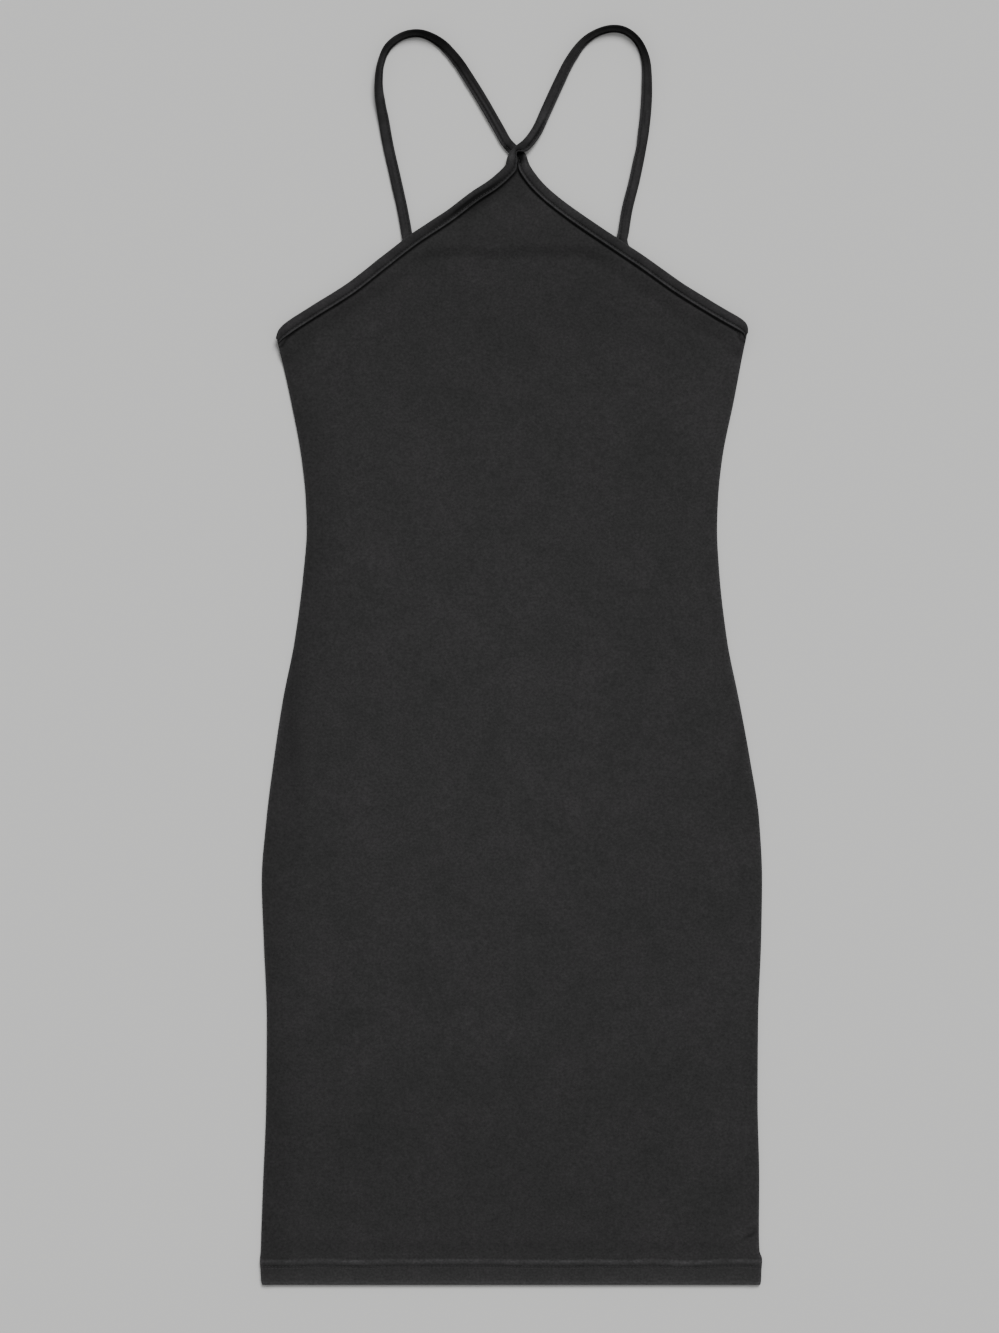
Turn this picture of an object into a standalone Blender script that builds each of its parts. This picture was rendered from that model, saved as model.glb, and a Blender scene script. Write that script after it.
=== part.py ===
# Bodycon dress with straps crossed at the throat, laid flat on its back with the front uppermost.
# Metres. +X is to the right of the front as seen from above, +Y points from the hem to the straps,
# and +Z is up from the surface that the dress lies on.
# The pattern is drawn with "across" from the centre line and "up" from the hem, and at the end the
# whole dress is moved so that its origin is the middle of its footprint.

from collections import namedtuple

import bmesh
import bpy
import numpy as np
from mathutils import Vector, geometry

# Cloth
WALL = 0.0010               # one layer of stretch jersey
GAP = 0.0003                # between pieces that are sewn together or lie on each other
LAYER = WALL + GAP
HEM_DEPTH = 0.0190          # allowance turned up inside
HEM_SLOPE = 0.0070          # stretch over which the front comes down from its doubled hem
HEM_STEP = 0.0012           # raw edge of the allowance
HEM_CORNER = 0.0040         # height of the rounding where the hem meets a side seam
FOLD_ROUNDING = 0.0010      # how far in from a fold or a side seam the outer face is rounded
FOLD_EDGE = 0.0004          # thickness left at the very edge

# Strips that bind the edges and run on as the straps
STRIP_WIDTH = 0.0094        # folded width
STRAP_THICK = 2 * WALL + GAP
BOUND_THICK = 3 * WALL + 2 * GAP
STRIP_ROUNDING = 0.0005     # small rounding along each edge of a strip
FOLD_WALL = 0.0011          # cloth at the folded edge, beside the slot between the two leaves
BACK_INSET = 0.0008         # how far the back's armhole edges hide inside the front's

# Levels of the front where it lies on the back, and where it comes down on the surface beyond it
BACK_TOP = 0.8968           # top edge of the back, above the hem
STACK = BOUND_THICK + GAP   # underside of what lies on a bound edge of the back
CREST_FOOT = 0.8778         # the front starts to rise towards the back's bound edge
CREST_FLAT = (0.8882, 0.8985)
CREST_END = 0.9400          # the front lies on the surface again
EDGE_FLAT_END = 0.9045      # the front's bound edges stay stacked up to here
EDGE_END = 0.9500
LIP_REACH = 0.0052          # cloth held level under the lips, from the strip's centre line
FRONT_BLEND = 0.0180        # from the lips to the cloth's own level
BACK_BLEND = 0.0090
SEAM_SWELL = 0.0006         # lift over the seam allowance along the side seams
SEAM_SWELL_AT = 0.0060
SEAM_SWELL_END = 0.0180
SEAM_SWELL_TOP = (0.7800, 0.8000)       # it dies out below the underarms

# Spacing of the mesh
SIDE_STEP = 0.0200
HEM_COLUMNS = 13
FLOOR_STEP = 0.0320
FLOOR_ROWS = (0.0450, 0.8700)
CREST_STEP = 0.0130
CREST_REACH = 0.0715        # the crest's upper edge is a line of points from side to side
CREST_ROWS = (CREST_FOOT, 0.8830, *CREST_FLAT, 0.9085, 0.9190, 0.9295, CREST_END)
BESIDE_FRONT = (0.0115, 0.0175, LIP_REACH + FRONT_BLEND)    # rows of points inside a bound edge
BESIDE_BACK = (0.0100, LIP_REACH + BACK_BLEND)
CLEAR_OF_SIDE = 0.0025
CLEAR_OF_MIDDLE = 0.0020
MIN_SPACING = 0.0040
STATION_SPACING = (0.0028, 0.0090)      # at tight bends, along straight stretches
STATION_TURN = 0.24                     # radians between stations
TOP_STATIONS = 12
CURVE_STEPS = 24
FINE_STEP = 0.0005
SHARP_ANGLE = 40.0

Side = namedtuple("Side", "up left right")
SIDES = [
    Side(0.0000, 0.2120, 0.2110),       # hem edge, with rounded corners
    Side(HEM_CORNER, 0.2142, 0.2126),
    Side(0.0120, 0.2151, 0.2135),
    Side(0.0215, 0.2157, 0.2141),       # top of the hem, which stands out a little
    Side(0.0290, 0.2150, 0.2119),
    Side(0.0460, 0.2145, 0.2114),
    Side(0.0890, 0.2129, 0.2117),
    Side(0.1575, 0.2103, 0.2103),
    Side(0.2260, 0.2098, 0.2107),       # thighs
    Side(0.2945, 0.2124, 0.2133),
    Side(0.3460, 0.2141, 0.2141),       # hips
    Side(0.3975, 0.2102, 0.2116),
    Side(0.4490, 0.2038, 0.2038),
    Side(0.5000, 0.1961, 0.1944),
    Side(0.5515, 0.1859, 0.1841),
    Side(0.6115, 0.1782, 0.1773),
    Side(0.6460, 0.1756, 0.1756),       # waist
    Side(0.6715, 0.1764, 0.1764),
    Side(0.7060, 0.1799, 0.1799),
    Side(0.7570, 0.1893, 0.1901),
    Side(0.8043, 0.2000, 0.1990),       # top of the side seams
]

# A strip's centre line, from the underarm up the front's edge to the throat. "width" is the folded
# width, which runs out where the strip is caught in the side seam.
Edge = namedtuple("Edge", "across up width")
LEFT_EDGE = [
    Edge(-0.2006, 0.8077, 0.0042),
    Edge(-0.1984, 0.8118, 0.0068),
    Edge(-0.1949, 0.8154, 0.0086),
    Edge(-0.1889, 0.8201, 0.0093),
    Edge(-0.1706, 0.8319, 0.0094),
    Edge(-0.1377, 0.8527, 0.0094),
    Edge(-0.1112, 0.8733, 0.0094),
    Edge(-0.0846, 0.8938, 0.0094),
    Edge(-0.0539, 0.9143, 0.0094),
    Edge(-0.0317, 0.9314, 0.0094),
    Edge(-0.0158, 0.9421, 0.0094),
    Edge(-0.0060, 0.9507, 0.0094),
    Edge(-0.0013, 0.9562, 0.0094),
]
RIGHT_EDGE = [
    Edge(0.2006, 0.8122, 0.0042),
    Edge(0.2000, 0.8160, 0.0060),
    Edge(0.1979, 0.8189, 0.0078),
    Edge(0.1938, 0.8220, 0.0090),
    Edge(0.1765, 0.8320, 0.0094),
    Edge(0.1430, 0.8526, 0.0094),
    Edge(0.1138, 0.8732, 0.0094),
    Edge(0.0831, 0.8938, 0.0094),
    Edge(0.0528, 0.9145, 0.0094),
    Edge(0.0331, 0.9299, 0.0094),
    Edge(0.0218, 0.9408, 0.0094),
    Edge(0.0155, 0.9486, 0.0094),
    Edge(0.0112, 0.9553, 0.0094),
]

# A strap, from the throat over its arch and down to the corner of the back. "turn" is how far it
# stands on edge, with its folded edge up, in degrees, and "raise" lifts it over the other strap.
Strap = namedtuple("Strap", "across up turn raise_")
RIGHT_STRAP = [
    Strap(-0.0003, 0.9602, 0, 0.0026),
    Strap(0.0009, 0.9641, 0, 0.0034),
    Strap(0.0054, 0.9708, 0, 0.0038),
    Strap(0.0129, 0.9771, 0, 0.0034),
    Strap(0.0208, 0.9872, 0, 0.0012),
    Strap(0.0294, 1.0050, 5, 0.0000),
    Strap(0.0394, 1.0269, 15, 0.0000),
    Strap(0.0502, 1.0484, 38, 0.0000),
    Strap(0.0641, 1.0655, 62, 0.0000),
    Strap(0.0814, 1.0743, 70, 0.0000),
    Strap(0.0951, 1.0738, 70, 0.0000),
    Strap(0.1071, 1.0642, 66, 0.0000),
    Strap(0.1142, 1.0484, 52, 0.0000),
    Strap(0.1155, 1.0227, 30, 0.0000),
    Strap(0.1139, 0.9970, 10, 0.0000),
    Strap(0.1101, 0.9713, 0, 0.0000),
    Strap(0.1049, 0.9456, 0, 0.0000),
    Strap(0.0985, 0.9199, 0, 0.0000),
    Strap(0.0955, 0.9011, 0, 0.0000),
    Strap(0.0942, 0.8933, 0, 0.0000),
    Strap(0.0961, 0.8866, 0, 0.0000),
    Strap(0.1021, 0.8799, 0, 0.0000),
]
LEFT_STRAP = [
    Strap(0.0094, 0.9598, 8, 0.0000),
    Strap(0.0083, 0.9636, 14, 0.0000),
    Strap(0.0058, 0.9688, 3, 0.0000),
    Strap(0.0006, 0.9731, 0, 0.0000),
    Strap(-0.0045, 0.9785, 0, 0.0000),
    Strap(-0.0102, 0.9880, 0, 0.0000),
    Strap(-0.0202, 1.0047, 0, 0.0000),
    Strap(-0.0337, 1.0269, 8, 0.0000),
    Strap(-0.0480, 1.0484, 28, 0.0000),
    Strap(-0.0617, 1.0625, 50, 0.0000),
    Strap(-0.0779, 1.0706, 66, 0.0000),
    Strap(-0.0925, 1.0689, 70, 0.0000),
    Strap(-0.1058, 1.0591, 73, 0.0000),
    Strap(-0.1124, 1.0444, 75, 0.0000),
    Strap(-0.1141, 1.0227, 60, 0.0000),
    Strap(-0.1103, 0.9995, 10, 0.0000),
    Strap(-0.1062, 0.9756, 0, 0.0000),
    Strap(-0.0994, 0.9456, 0, 0.0000),
    Strap(-0.0938, 0.9199, 0, 0.0000),
    Strap(-0.0904, 0.9011, 0, 0.0000),
    Strap(-0.0895, 0.8938, 0, 0.0000),
    Strap(-0.0916, 0.8878, 0, 0.0000),
    Strap(-0.0971, 0.8830, 0, 0.0000),
]
BACK_EDGE_ROWS = 7          # rows of the front's edge that the back's armhole edge shares
THROAT = (0.0048, 0.9540)   # point of the front, where the two lips meet

FABRIC = {
    # node: colour, roughness
    "front_panel": ((0.0262, 0.0255, 0.0262), 0.86),
    "back_panel": ((0.0255, 0.0248, 0.0255), 0.86),
    "strip_over": ((0.0300, 0.0292, 0.0303), 0.82),
    "strip_under": ((0.0296, 0.0288, 0.0299), 0.82),
    "back_top_binding": ((0.0290, 0.0282, 0.0293), 0.82),
}


def ease(value, start, end):
    # Smooth step from 0 at start to 1 at end.
    share = np.clip((np.asarray(value, float) - start) / (end - start), 0.0, 1.0)
    return share * share * (3.0 - 2.0 * share)


def through_rows(rows, name, ups):
    # Smooth curve through one column of SIDES that never overshoots its rows.
    known = np.array([row.up for row in rows])
    values = np.array([getattr(row, name) for row in rows])
    step = np.diff(known)
    slope = np.diff(values) / step
    tangent = np.empty(len(rows))
    tangent[0] = slope[0]
    tangent[-1] = slope[-1]
    for i in range(1, len(rows) - 1):
        if slope[i - 1] * slope[i] <= 0.0:
            tangent[i] = 0.0
        else:
            tangent[i] = 2.0 * slope[i - 1] * slope[i] / (slope[i - 1] + slope[i])
    ups = np.asarray(ups, float)
    k = np.clip(np.searchsorted(known, ups, side="right") - 1, 0, len(step) - 1)
    t = (ups - known[k]) / step[k]
    return (
        (2 * t**3 - 3 * t**2 + 1) * values[k]
        + (t**3 - 2 * t**2 + t) * step[k] * tangent[k]
        + (-2 * t**3 + 3 * t**2) * values[k + 1]
        + (t**3 - t**2) * step[k] * tangent[k + 1]
    )


def side_x(side, ups):
    # Where the side seam runs: side is -1 for the left, +1 for the right.
    return side * through_rows(SIDES, "left" if side < 0 else "right", ups)


def smooth_route(knots):
    # Centripetal Catmull-Rom curve through the knots' first two columns; the rest goes along.
    knots = np.asarray(knots, float)
    padded = np.vstack([2 * knots[0] - knots[1], knots, 2 * knots[-1] - knots[-2]])
    points = []
    for i in range(1, len(padded) - 2):
        a, b, c, d = padded[i - 1:i + 3]
        t0 = 0.0
        t1 = t0 + np.linalg.norm(b[:2] - a[:2]) ** 0.5
        t2 = t1 + np.linalg.norm(c[:2] - b[:2]) ** 0.5
        t3 = t2 + np.linalg.norm(d[:2] - c[:2]) ** 0.5
        for t in np.linspace(t1, t2, CURVE_STEPS, endpoint=False):
            ab = a + (b - a) * (t - t0) / (t1 - t0)
            bc = b + (c - b) * (t - t1) / (t2 - t1)
            cd = c + (d - c) * (t - t2) / (t3 - t2)
            abc = ab + (bc - ab) * (t - t0) / (t2 - t0)
            bcd = bc + (cd - bc) * (t - t1) / (t3 - t1)
            points.append(abc + (bcd - abc) * (t - t1) / (t2 - t1))
    points.append(knots[-1])
    return np.array(points)


def stations_along(route):
    # Picks stations that stand closer together where the route bends.
    step = np.diff(route[:, :2], axis=0)
    length = np.concatenate([[0.0], np.cumsum(np.linalg.norm(step, axis=1))])
    even = np.linspace(0.0, length[-1], int(length[-1] / FINE_STEP) + 1)
    fine = np.column_stack([np.interp(even, length, route[:, k]) for k in range(route.shape[1])])
    heading = np.unwrap(np.arctan2(np.gradient(fine[:, 1]), np.gradient(fine[:, 0])))
    bend = np.abs(np.gradient(heading, even))
    around = 8
    window = np.ones(2 * around + 1) / (2 * around + 1)
    bend = np.convolve(np.pad(bend, around, mode="edge"), window, "valid")
    dense = 1.0 / np.clip(STATION_TURN / np.maximum(bend, 1e-6), *STATION_SPACING)
    share = np.concatenate([[0.0], np.cumsum(0.5 * (dense[1:] + dense[:-1]) * np.diff(even))])
    count = int(round(share[-1])) + 1
    picked = np.interp(np.linspace(0.0, share[-1], count), share, even)
    chosen = np.column_stack([np.interp(picked, even, fine[:, k]) for k in range(fine.shape[1])])
    turned = np.interp(picked, even, heading)
    return chosen, turned


def folded_section(width, thick):
    # A strip folded in half, cut across: (towards the open edge, up from the middle).
    half, high, r = width / 2, thick / 2, STRIP_ROUNDING
    slot = high - WALL
    depth = -half + FOLD_WALL
    return np.array([
        (-half, -high + 2 * r),
        (-half, high - 2 * r),
        (-half + 2 * r, high),
        (half - r, high),
        (half, high - r),
        (half, slot),
        (depth, slot),
        (depth, -slot),
        (half, -slot),
        (half, -high + r),
        (half - r, -high),
        (-half + 2 * r, -high),
    ])


# The same section's corners, leaf by leaf: upper leaf, fold, lower leaf.
SECTION_PARTS = [(2, 3, 4, 5, 6), (11, 0, 1, 2, 6, 7), (7, 8, 9, 10, 11)]


def edge_lift(up):
    # Underside of the front's bound edges: stacked on the back's, then down to the surface.
    return STACK * (1.0 - ease(up, EDGE_FLAT_END, EDGE_END))


class Strip:
    # One long strip: front edge, strap, back edge. slot_side is +1 when the open edge of the
    # folded strip is on the right-hand side of its direction of travel.

    def __init__(self, front_rows, strap_rows, back_rows, slot_side):
        self.slot_side = slot_side
        knots = []
        for row in front_rows:
            knots.append((row.across, row.up, row.width, 0.0, 0.0, 1.0, 1.0))
        for i, row in enumerate(strap_rows):
            bound = 1.0 if i >= len(strap_rows) - 3 else 0.0
            half_bound = 0.35 if i == len(strap_rows) - 4 else bound
            knots.append((row.across, row.up, STRIP_WIDTH, row.turn, row.raise_, half_bound, 0.0))
        for i in range(BACK_EDGE_ROWS - 1, -1, -1):
            row = back_rows[i]
            inner = self.inward(back_rows, i) * BACK_INSET
            knots.append((row.across + inner[0], row.up + inner[1], row.width, 0.0, 0.0, 1.0, 0.0))
        chosen, self.heading = stations_along(smooth_route(knots))
        self.centre = chosen[:, :2]
        self.width = chosen[:, 2]
        self.hold_end_directions()
        self.turn = np.radians(chosen[:, 3])
        self.lift = np.maximum(chosen[:, 4], 0.0)
        bound = ease(chosen[:, 5], 0.0, 1.0)
        self.thick = STRAP_THICK + (BOUND_THICK - STRAP_THICK) * bound
        self.on_front = chosen[:, 6] > 0.5
        throat = int(np.argmax((bound < 0.999) | ~self.on_front))
        self.front = slice(0, throat)
        corner = np.nonzero((self.centre[:, 1] < BACK_TOP - STRIP_WIDTH / 2) & ~self.on_front)[0][0]
        self.back = slice(corner, len(self.centre))

    def hold_end_directions(self):
        # Where the strip runs out into a side seam its cross-sections stay parallel.
        full = np.nonzero(self.width > 0.97 * STRIP_WIDTH)[0]
        self.heading[:full[0]] = self.heading[full[0]]
        self.heading[full[-1]:] = self.heading[full[-1]]

    def inward(self, rows, i):
        # Unit vector at a row of the edge that the back shares, pointing into the cloth.
        a = rows[max(i - 1, 0)]
        b = rows[min(i + 1, len(rows) - 1)]
        along = np.array([b.across - a.across, b.up - a.up])
        along /= np.linalg.norm(along)
        return -self.slot_side * np.array([along[1], -along[0]])

    def cross(self):
        # Unit vectors from the folded edge towards the open edge, one for each station.
        return self.slot_side * np.column_stack([np.sin(self.heading), -np.cos(self.heading)])

    def loops(self):
        # World points of every station's section.
        result = []
        cross = self.cross()
        for k in range(len(self.centre)):
            flat = folded_section(self.width[k], self.thick[k])
            cos, sin = np.cos(self.turn[k]), np.sin(self.turn[k])
            across = flat[:, 0] * cos + flat[:, 1] * sin
            up = -flat[:, 0] * sin + flat[:, 1] * cos
            ring = np.empty((len(flat), 3))
            ring[:, :2] = self.centre[k] + across[:, None] * cross[k]
            ring[:, 2] = up - up.min() + self.lift[k]
            if self.on_front[k]:
                ring[:, 2] += edge_lift(ring[:, 1])
            result.append(ring)
        return result


def distance_to(line, points):
    # Shortest distance from each point to a polyline.
    points = np.asarray(points, float)
    start, end = line[:-1], line[1:]
    along = end - start
    square = np.sum(along**2, axis=1)
    t = np.einsum("pik,ik->pi", points[:, None, :] - start[None], along) / square
    nearest = start[None] + np.clip(t, 0.0, 1.0)[..., None] * along[None]
    return np.min(np.linalg.norm(points[:, None, :] - nearest, axis=2), axis=1)


def side_distance(points):
    # How far a point lies inside the nearer side seam.
    ups = np.minimum(points[:, 1], SIDES[-1].up)
    left = points[:, 0] - side_x(-1, ups)
    right = side_x(1, ups) - points[:, 0]
    return np.where(points[:, 1] > SIDES[-1].up, SIDES[-1].left, np.minimum(left, right))


def hem_layers(up):
    # Thickness of a wall: doubled over the hem allowance, whose raw edge ends in a step.
    return WALL * (2.0 - ease(up, HEM_DEPTH, HEM_DEPTH + HEM_STEP))


def round_edges(points, bottom, top, middle_at_side):
    # Brings a wall's faces together along the side seams and the folded hem.
    side = 1.0 - ease(side_distance(points), 0.0, FOLD_ROUNDING)
    fold = (1.0 - ease(points[:, 1], 0.0, FOLD_ROUNDING)) * (1.0 - side)
    spare = top - bottom - FOLD_EDGE
    low = side * spare * middle_at_side + fold * spare / 2
    high = side * spare * (1.0 - middle_at_side) + fold * spare / 2
    return bottom + low, top - high


class BackShape:
    # Heights of the back, which lies on the surface; its bound edges are held in the strips.

    def __init__(self, bound_lines):
        self.bound_lines = bound_lines

    def bottom(self, points):
        near = np.min([distance_to(line, points) for line in self.bound_lines], axis=0)
        return LAYER * (1.0 - ease(near, LIP_REACH, LIP_REACH + BACK_BLEND))

    def faces(self, points):
        bottom = self.bottom(points)
        top = bottom + hem_layers(points[:, 1])
        return round_edges(points, bottom, top, 1.0)


class FrontShape:
    # Heights of the front, which lies on the back and on the surface beyond the back's top edge.

    def __init__(self, bound_lines):
        self.bound_lines = bound_lines

    def own_level(self, points):
        up = points[:, 1]
        level = LAYER + (STACK - LAYER) * ease(up, CREST_FOOT, CREST_FLAT[0])
        level = level * (1.0 - ease(up, CREST_FLAT[1], CREST_END))
        hem = 1.0 - ease(up, HEM_DEPTH, HEM_DEPTH + HEM_SLOPE)
        return level + 2 * WALL * hem

    def faces(self, points):
        up = points[:, 1]
        inside = side_distance(points)
        swell = SEAM_SWELL * ease(inside, 0.0, SEAM_SWELL_AT)
        swell = swell * (1.0 - ease(inside, SEAM_SWELL_AT, SEAM_SWELL_END))
        swell = swell * (1.0 - ease(up, *SEAM_SWELL_TOP))
        near = np.min([distance_to(line, points) for line in self.bound_lines], axis=0)
        held = 1.0 - ease(near, LIP_REACH, LIP_REACH + FRONT_BLEND)
        under = self.own_level(points) + swell
        under = under * (1.0 - held) + (edge_lift(up) + LAYER) * held
        top = under + WALL
        return round_edges(points, top - hem_layers(up), top, 0.0)


# Heights of the rows of points that shape the hem.
HEM_UPS = (FOLD_ROUNDING, HEM_CORNER, HEM_DEPTH, HEM_DEPTH + HEM_STEP, HEM_DEPTH + HEM_SLOPE)


def side_ups(top):
    # Heights at which the sides and the hem have points.
    count = int(round((top - HEM_UPS[-1]) / SIDE_STEP))
    return np.concatenate([[0.0], HEM_UPS, np.linspace(HEM_UPS[-1], top, count + 1)[1:]])


class Pattern:
    # The flat pattern of a panel: its outline, lines that its mesh must follow, and loose points.

    def __init__(self, left_line, right_line, top_point=None):
        # The bound edges run up from the underarms, and a point may join their upper ends.
        self.points = []
        self.edges = []
        self.left_line = left_line
        self.right_line = right_line
        top = SIDES[-1].up
        self.ups = side_ups(top)
        right_side = np.column_stack([side_x(1, self.ups), self.ups])
        left_side = np.column_stack([side_x(-1, self.ups), self.ups])
        hem = self.hem_row(0.0)
        peak = [] if top_point is None else [[top_point]]
        parts = [hem[1:-1], right_side, right_line, *peak, left_line[::-1], left_side[::-1]]
        self.outline = np.vstack(parts)
        self.add_line(self.outline, closed=True)

    def add_line(self, line, closed=False):
        first = len(self.points)
        self.points.extend(tuple(p) for p in line)
        count = len(line)
        for i in range(count if closed else count - 1):
            self.edges.append((first + i, first + (i + 1) % count))

    def add_loose(self, candidates, spacing=MIN_SPACING):
        # Keeps the candidates that lie inside the outline and not too close to what is there.
        candidates = np.asarray(candidates, float)
        loop = np.vstack([self.outline, self.outline[:1]])
        inside = np.array([self.contains(p) for p in candidates])
        clear = distance_to(loop, candidates) > spacing * 0.8
        for p in candidates[inside & clear]:
            known = np.asarray(self.points)
            if np.min(np.hypot(known[:, 0] - p[0], known[:, 1] - p[1])) > spacing:
                self.points.append(tuple(p))

    def contains(self, p):
        x, y = self.outline[:, 0], self.outline[:, 1]
        x2, y2 = np.roll(x, -1), np.roll(y, -1)
        crosses = (y > p[1]) != (y2 > p[1])
        with np.errstate(divide="ignore", invalid="ignore"):
            at = x + (p[1] - y) * (x2 - x) / (y2 - y)
        return bool(np.sum(crosses & (at > p[0])) % 2)

    def hem_row(self, up):
        left, right = side_x(-1, up), side_x(1, up)
        inner = np.linspace(left + SEAM_SWELL_END, right - SEAM_SWELL_END, HEM_COLUMNS)
        offsets = np.array([0.0, FOLD_ROUNDING, SEAM_SWELL_AT])
        across = np.concatenate([left + offsets, inner, (right - offsets)[::-1]])
        return np.column_stack([across, np.full(len(across), up)])

    def add_hem(self):
        for up in HEM_UPS:
            self.add_line(self.hem_row(up)[1:-1])

    def add_sides(self):
        ups = self.ups[len(HEM_UPS) + 1:-2]
        for side in (-1, 1):
            edge = side_x(side, ups)
            self.add_line(np.column_stack([edge - side * FOLD_ROUNDING, ups]))
            for offset in (SEAM_SWELL_AT, SEAM_SWELL_END):
                self.add_loose(np.column_stack([edge - side * offset, ups]))

    def add_beside(self, strip, part, offset, fixed):
        # Points along a bound edge, a given distance inside the strip's centre line.
        beside = strip.centre[part] + offset * strip.cross()[part]
        keep = side_distance(beside) > CLEAR_OF_SIDE
        own = beside[:, 0] * np.sign(strip.centre[part][0, 0]) > CLEAR_OF_MIDDLE
        beside = beside[keep & own]
        if fixed:
            self.add_line(beside)
        else:
            self.add_loose(beside)

    def add_crest(self):
        # The line along which the front has risen to lie on the back's top binding.
        across = np.arange(-CREST_REACH, CREST_REACH + CREST_STEP / 2, CREST_STEP)
        self.add_line(np.column_stack([across, np.full(len(across), CREST_FLAT[0])]))

    def add_rows(self, ups, spacing, close=MIN_SPACING):
        # Staggered rows of loose points from side to side.
        candidates = []
        reach = np.abs(self.outline[:, 0]).max()
        for i, up in enumerate(ups):
            across = np.arange(-reach, reach, spacing) + (spacing / 2 if i % 2 else 0.0)
            candidates.extend((x, up) for x in across)
        self.add_loose(candidates, close)

    def build(self, name, shape, collection):
        # Fills the pattern with triangles, gives it a wall and lays it at its heights.
        flat = [Vector(p) for p in self.points]
        verts, _, faces, _, _, _ = geometry.delaunay_2d_cdt(flat, self.edges, [], 0, 1e-7)
        faces = [f for f in faces if self.contains(np.mean([verts[i] for i in f], axis=0))]
        mesh = bpy.data.meshes.new(name)
        bm = bmesh.new()
        lower = [bm.verts.new((v.x, v.y, 0.0)) for v in verts]
        for face in faces:
            bm.faces.new([lower[i] for i in face])
        bmesh.ops.delete(bm, geom=[v for v in bm.verts if not v.link_faces], context="VERTS")
        bmesh.ops.recalc_face_normals(bm, faces=bm.faces)
        for face in bm.faces:
            if face.normal.z > 0.0:
                face.normal_flip()
        raised = bmesh.ops.extrude_face_region(bm, geom=list(bm.faces), use_keep_orig=True)
        upper = {v for v in raised["geom"] if isinstance(v, bmesh.types.BMVert)}
        for face in bm.faces:
            if all(v in upper for v in face.verts):
                face.normal_flip()
        every = list(bm.verts)
        plan = np.array([(v.co.x, v.co.y) for v in every])
        bottom, top = shape.faces(plan)
        for v, low, high in zip(every, bottom, top):
            v.co.z = high if v in upper else low
        bmesh.ops.recalc_face_normals(bm, faces=bm.faces)
        bm.to_mesh(mesh)
        bm.free()
        return add_object(name, mesh, collection)


def fabric(name):
    # Matt stretch jersey, close to black.
    colour, roughness = FABRIC[name]
    material = bpy.data.materials.new(name + "_jersey")
    material.use_nodes = True
    shader = material.node_tree.nodes["Principled BSDF"]
    shader.inputs["Base Color"].default_value = (*colour, 1.0)
    shader.inputs["Roughness"].default_value = roughness
    shader.inputs["Metallic"].default_value = 0.0
    material.diffuse_color = (*colour, 1.0)
    return material


def add_object(name, mesh, collection):
    obj = bpy.data.objects.new(name, mesh)
    collection.objects.link(obj)
    mesh.materials.append(fabric(name))
    mesh.shade_smooth()
    mesh.set_sharp_from_angle(angle=np.radians(SHARP_ANGLE))
    return obj


def loft(name, rings, collection):
    # Joins the sections of a folded strip into one closed body.
    bm = bmesh.new()
    loops = [[bm.verts.new(p) for p in ring] for ring in rings]
    size = len(loops[0])
    for a, b in zip(loops[:-1], loops[1:]):
        for i in range(size):
            j = (i + 1) % size
            bm.faces.new((a[i], a[j], b[j], b[i]))
    for ring in (loops[0], loops[-1]):
        for part in SECTION_PARTS:
            bm.faces.new([ring[i] for i in part])
    bmesh.ops.triangulate(bm, faces=[f for f in bm.faces if len(f.verts) > 4])
    bmesh.ops.recalc_face_normals(bm, faces=bm.faces)
    mesh = bpy.data.meshes.new(name)
    bm.to_mesh(mesh)
    bm.free()
    return add_object(name, mesh, collection)


def top_binding_rings(left, right):
    # A straight folded strip over the back's top edge, between the two strips at its corners.
    middle = BACK_TOP - STRIP_WIDTH / 2
    ends = []
    for strip, sign in ((left, 1.0), (right, -1.0)):
        near = np.abs(strip.centre[:, 1] - middle) < STRIP_WIDTH * 0.75
        near &= ~strip.on_front
        inner = strip.centre + strip.cross() * (STRIP_WIDTH / 2 + GAP)
        reach = sign * inner[near, 0]
        ends.append(sign * reach.max())
    section = folded_section(STRIP_WIDTH, BOUND_THICK)
    high = BOUND_THICK / 2
    stations = np.linspace(*ends, TOP_STATIONS)
    return [[(x, middle - s, n + high) for s, n in section] for x in stations]


def back_line(strip):
    # The armhole edge of the back from the underarm to its top corner, and the top corner itself.
    middle = BACK_TOP - STRIP_WIDTH / 2
    line = strip.centre[strip.back][::-1]
    before = strip.centre[strip.back.start - 1]
    after = line[-1]
    share = (middle - after[1]) / (before[1] - after[1])
    corner = after + (before - after) * share
    if np.linalg.norm(corner - after) > 0.0005:
        line = np.vstack([line, corner])
    else:
        line[-1] = corner
    return line


def front_pattern(left, right):
    pattern = Pattern(left.centre[left.front], right.centre[right.front], THROAT)
    pattern.add_hem()
    pattern.add_sides()
    for strip in (left, right):
        pattern.add_beside(strip, strip.front, LIP_REACH, fixed=True)
        for offset in BESIDE_FRONT:
            pattern.add_beside(strip, strip.front, offset, fixed=False)
    pattern.add_crest()
    pattern.add_rows(CREST_ROWS, CREST_STEP)
    pattern.add_rows(np.arange(*FLOOR_ROWS, FLOOR_STEP), FLOOR_STEP, 3 * MIN_SPACING)
    return pattern


def back_pattern(left, right):
    pattern = Pattern(back_line(left), back_line(right))
    pattern.add_hem()
    pattern.add_sides()
    for strip in (left, right):
        for offset in (LIP_REACH, *BESIDE_BACK):
            pattern.add_beside(strip, strip.back, offset, fixed=False)
    middle = BACK_TOP - STRIP_WIDTH / 2
    pattern.add_rows([middle - offset for offset in (LIP_REACH, *BESIDE_BACK)], CREST_STEP)
    pattern.add_rows(np.arange(*FLOOR_ROWS, FLOOR_STEP), FLOOR_STEP, 3 * MIN_SPACING)
    return pattern


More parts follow.
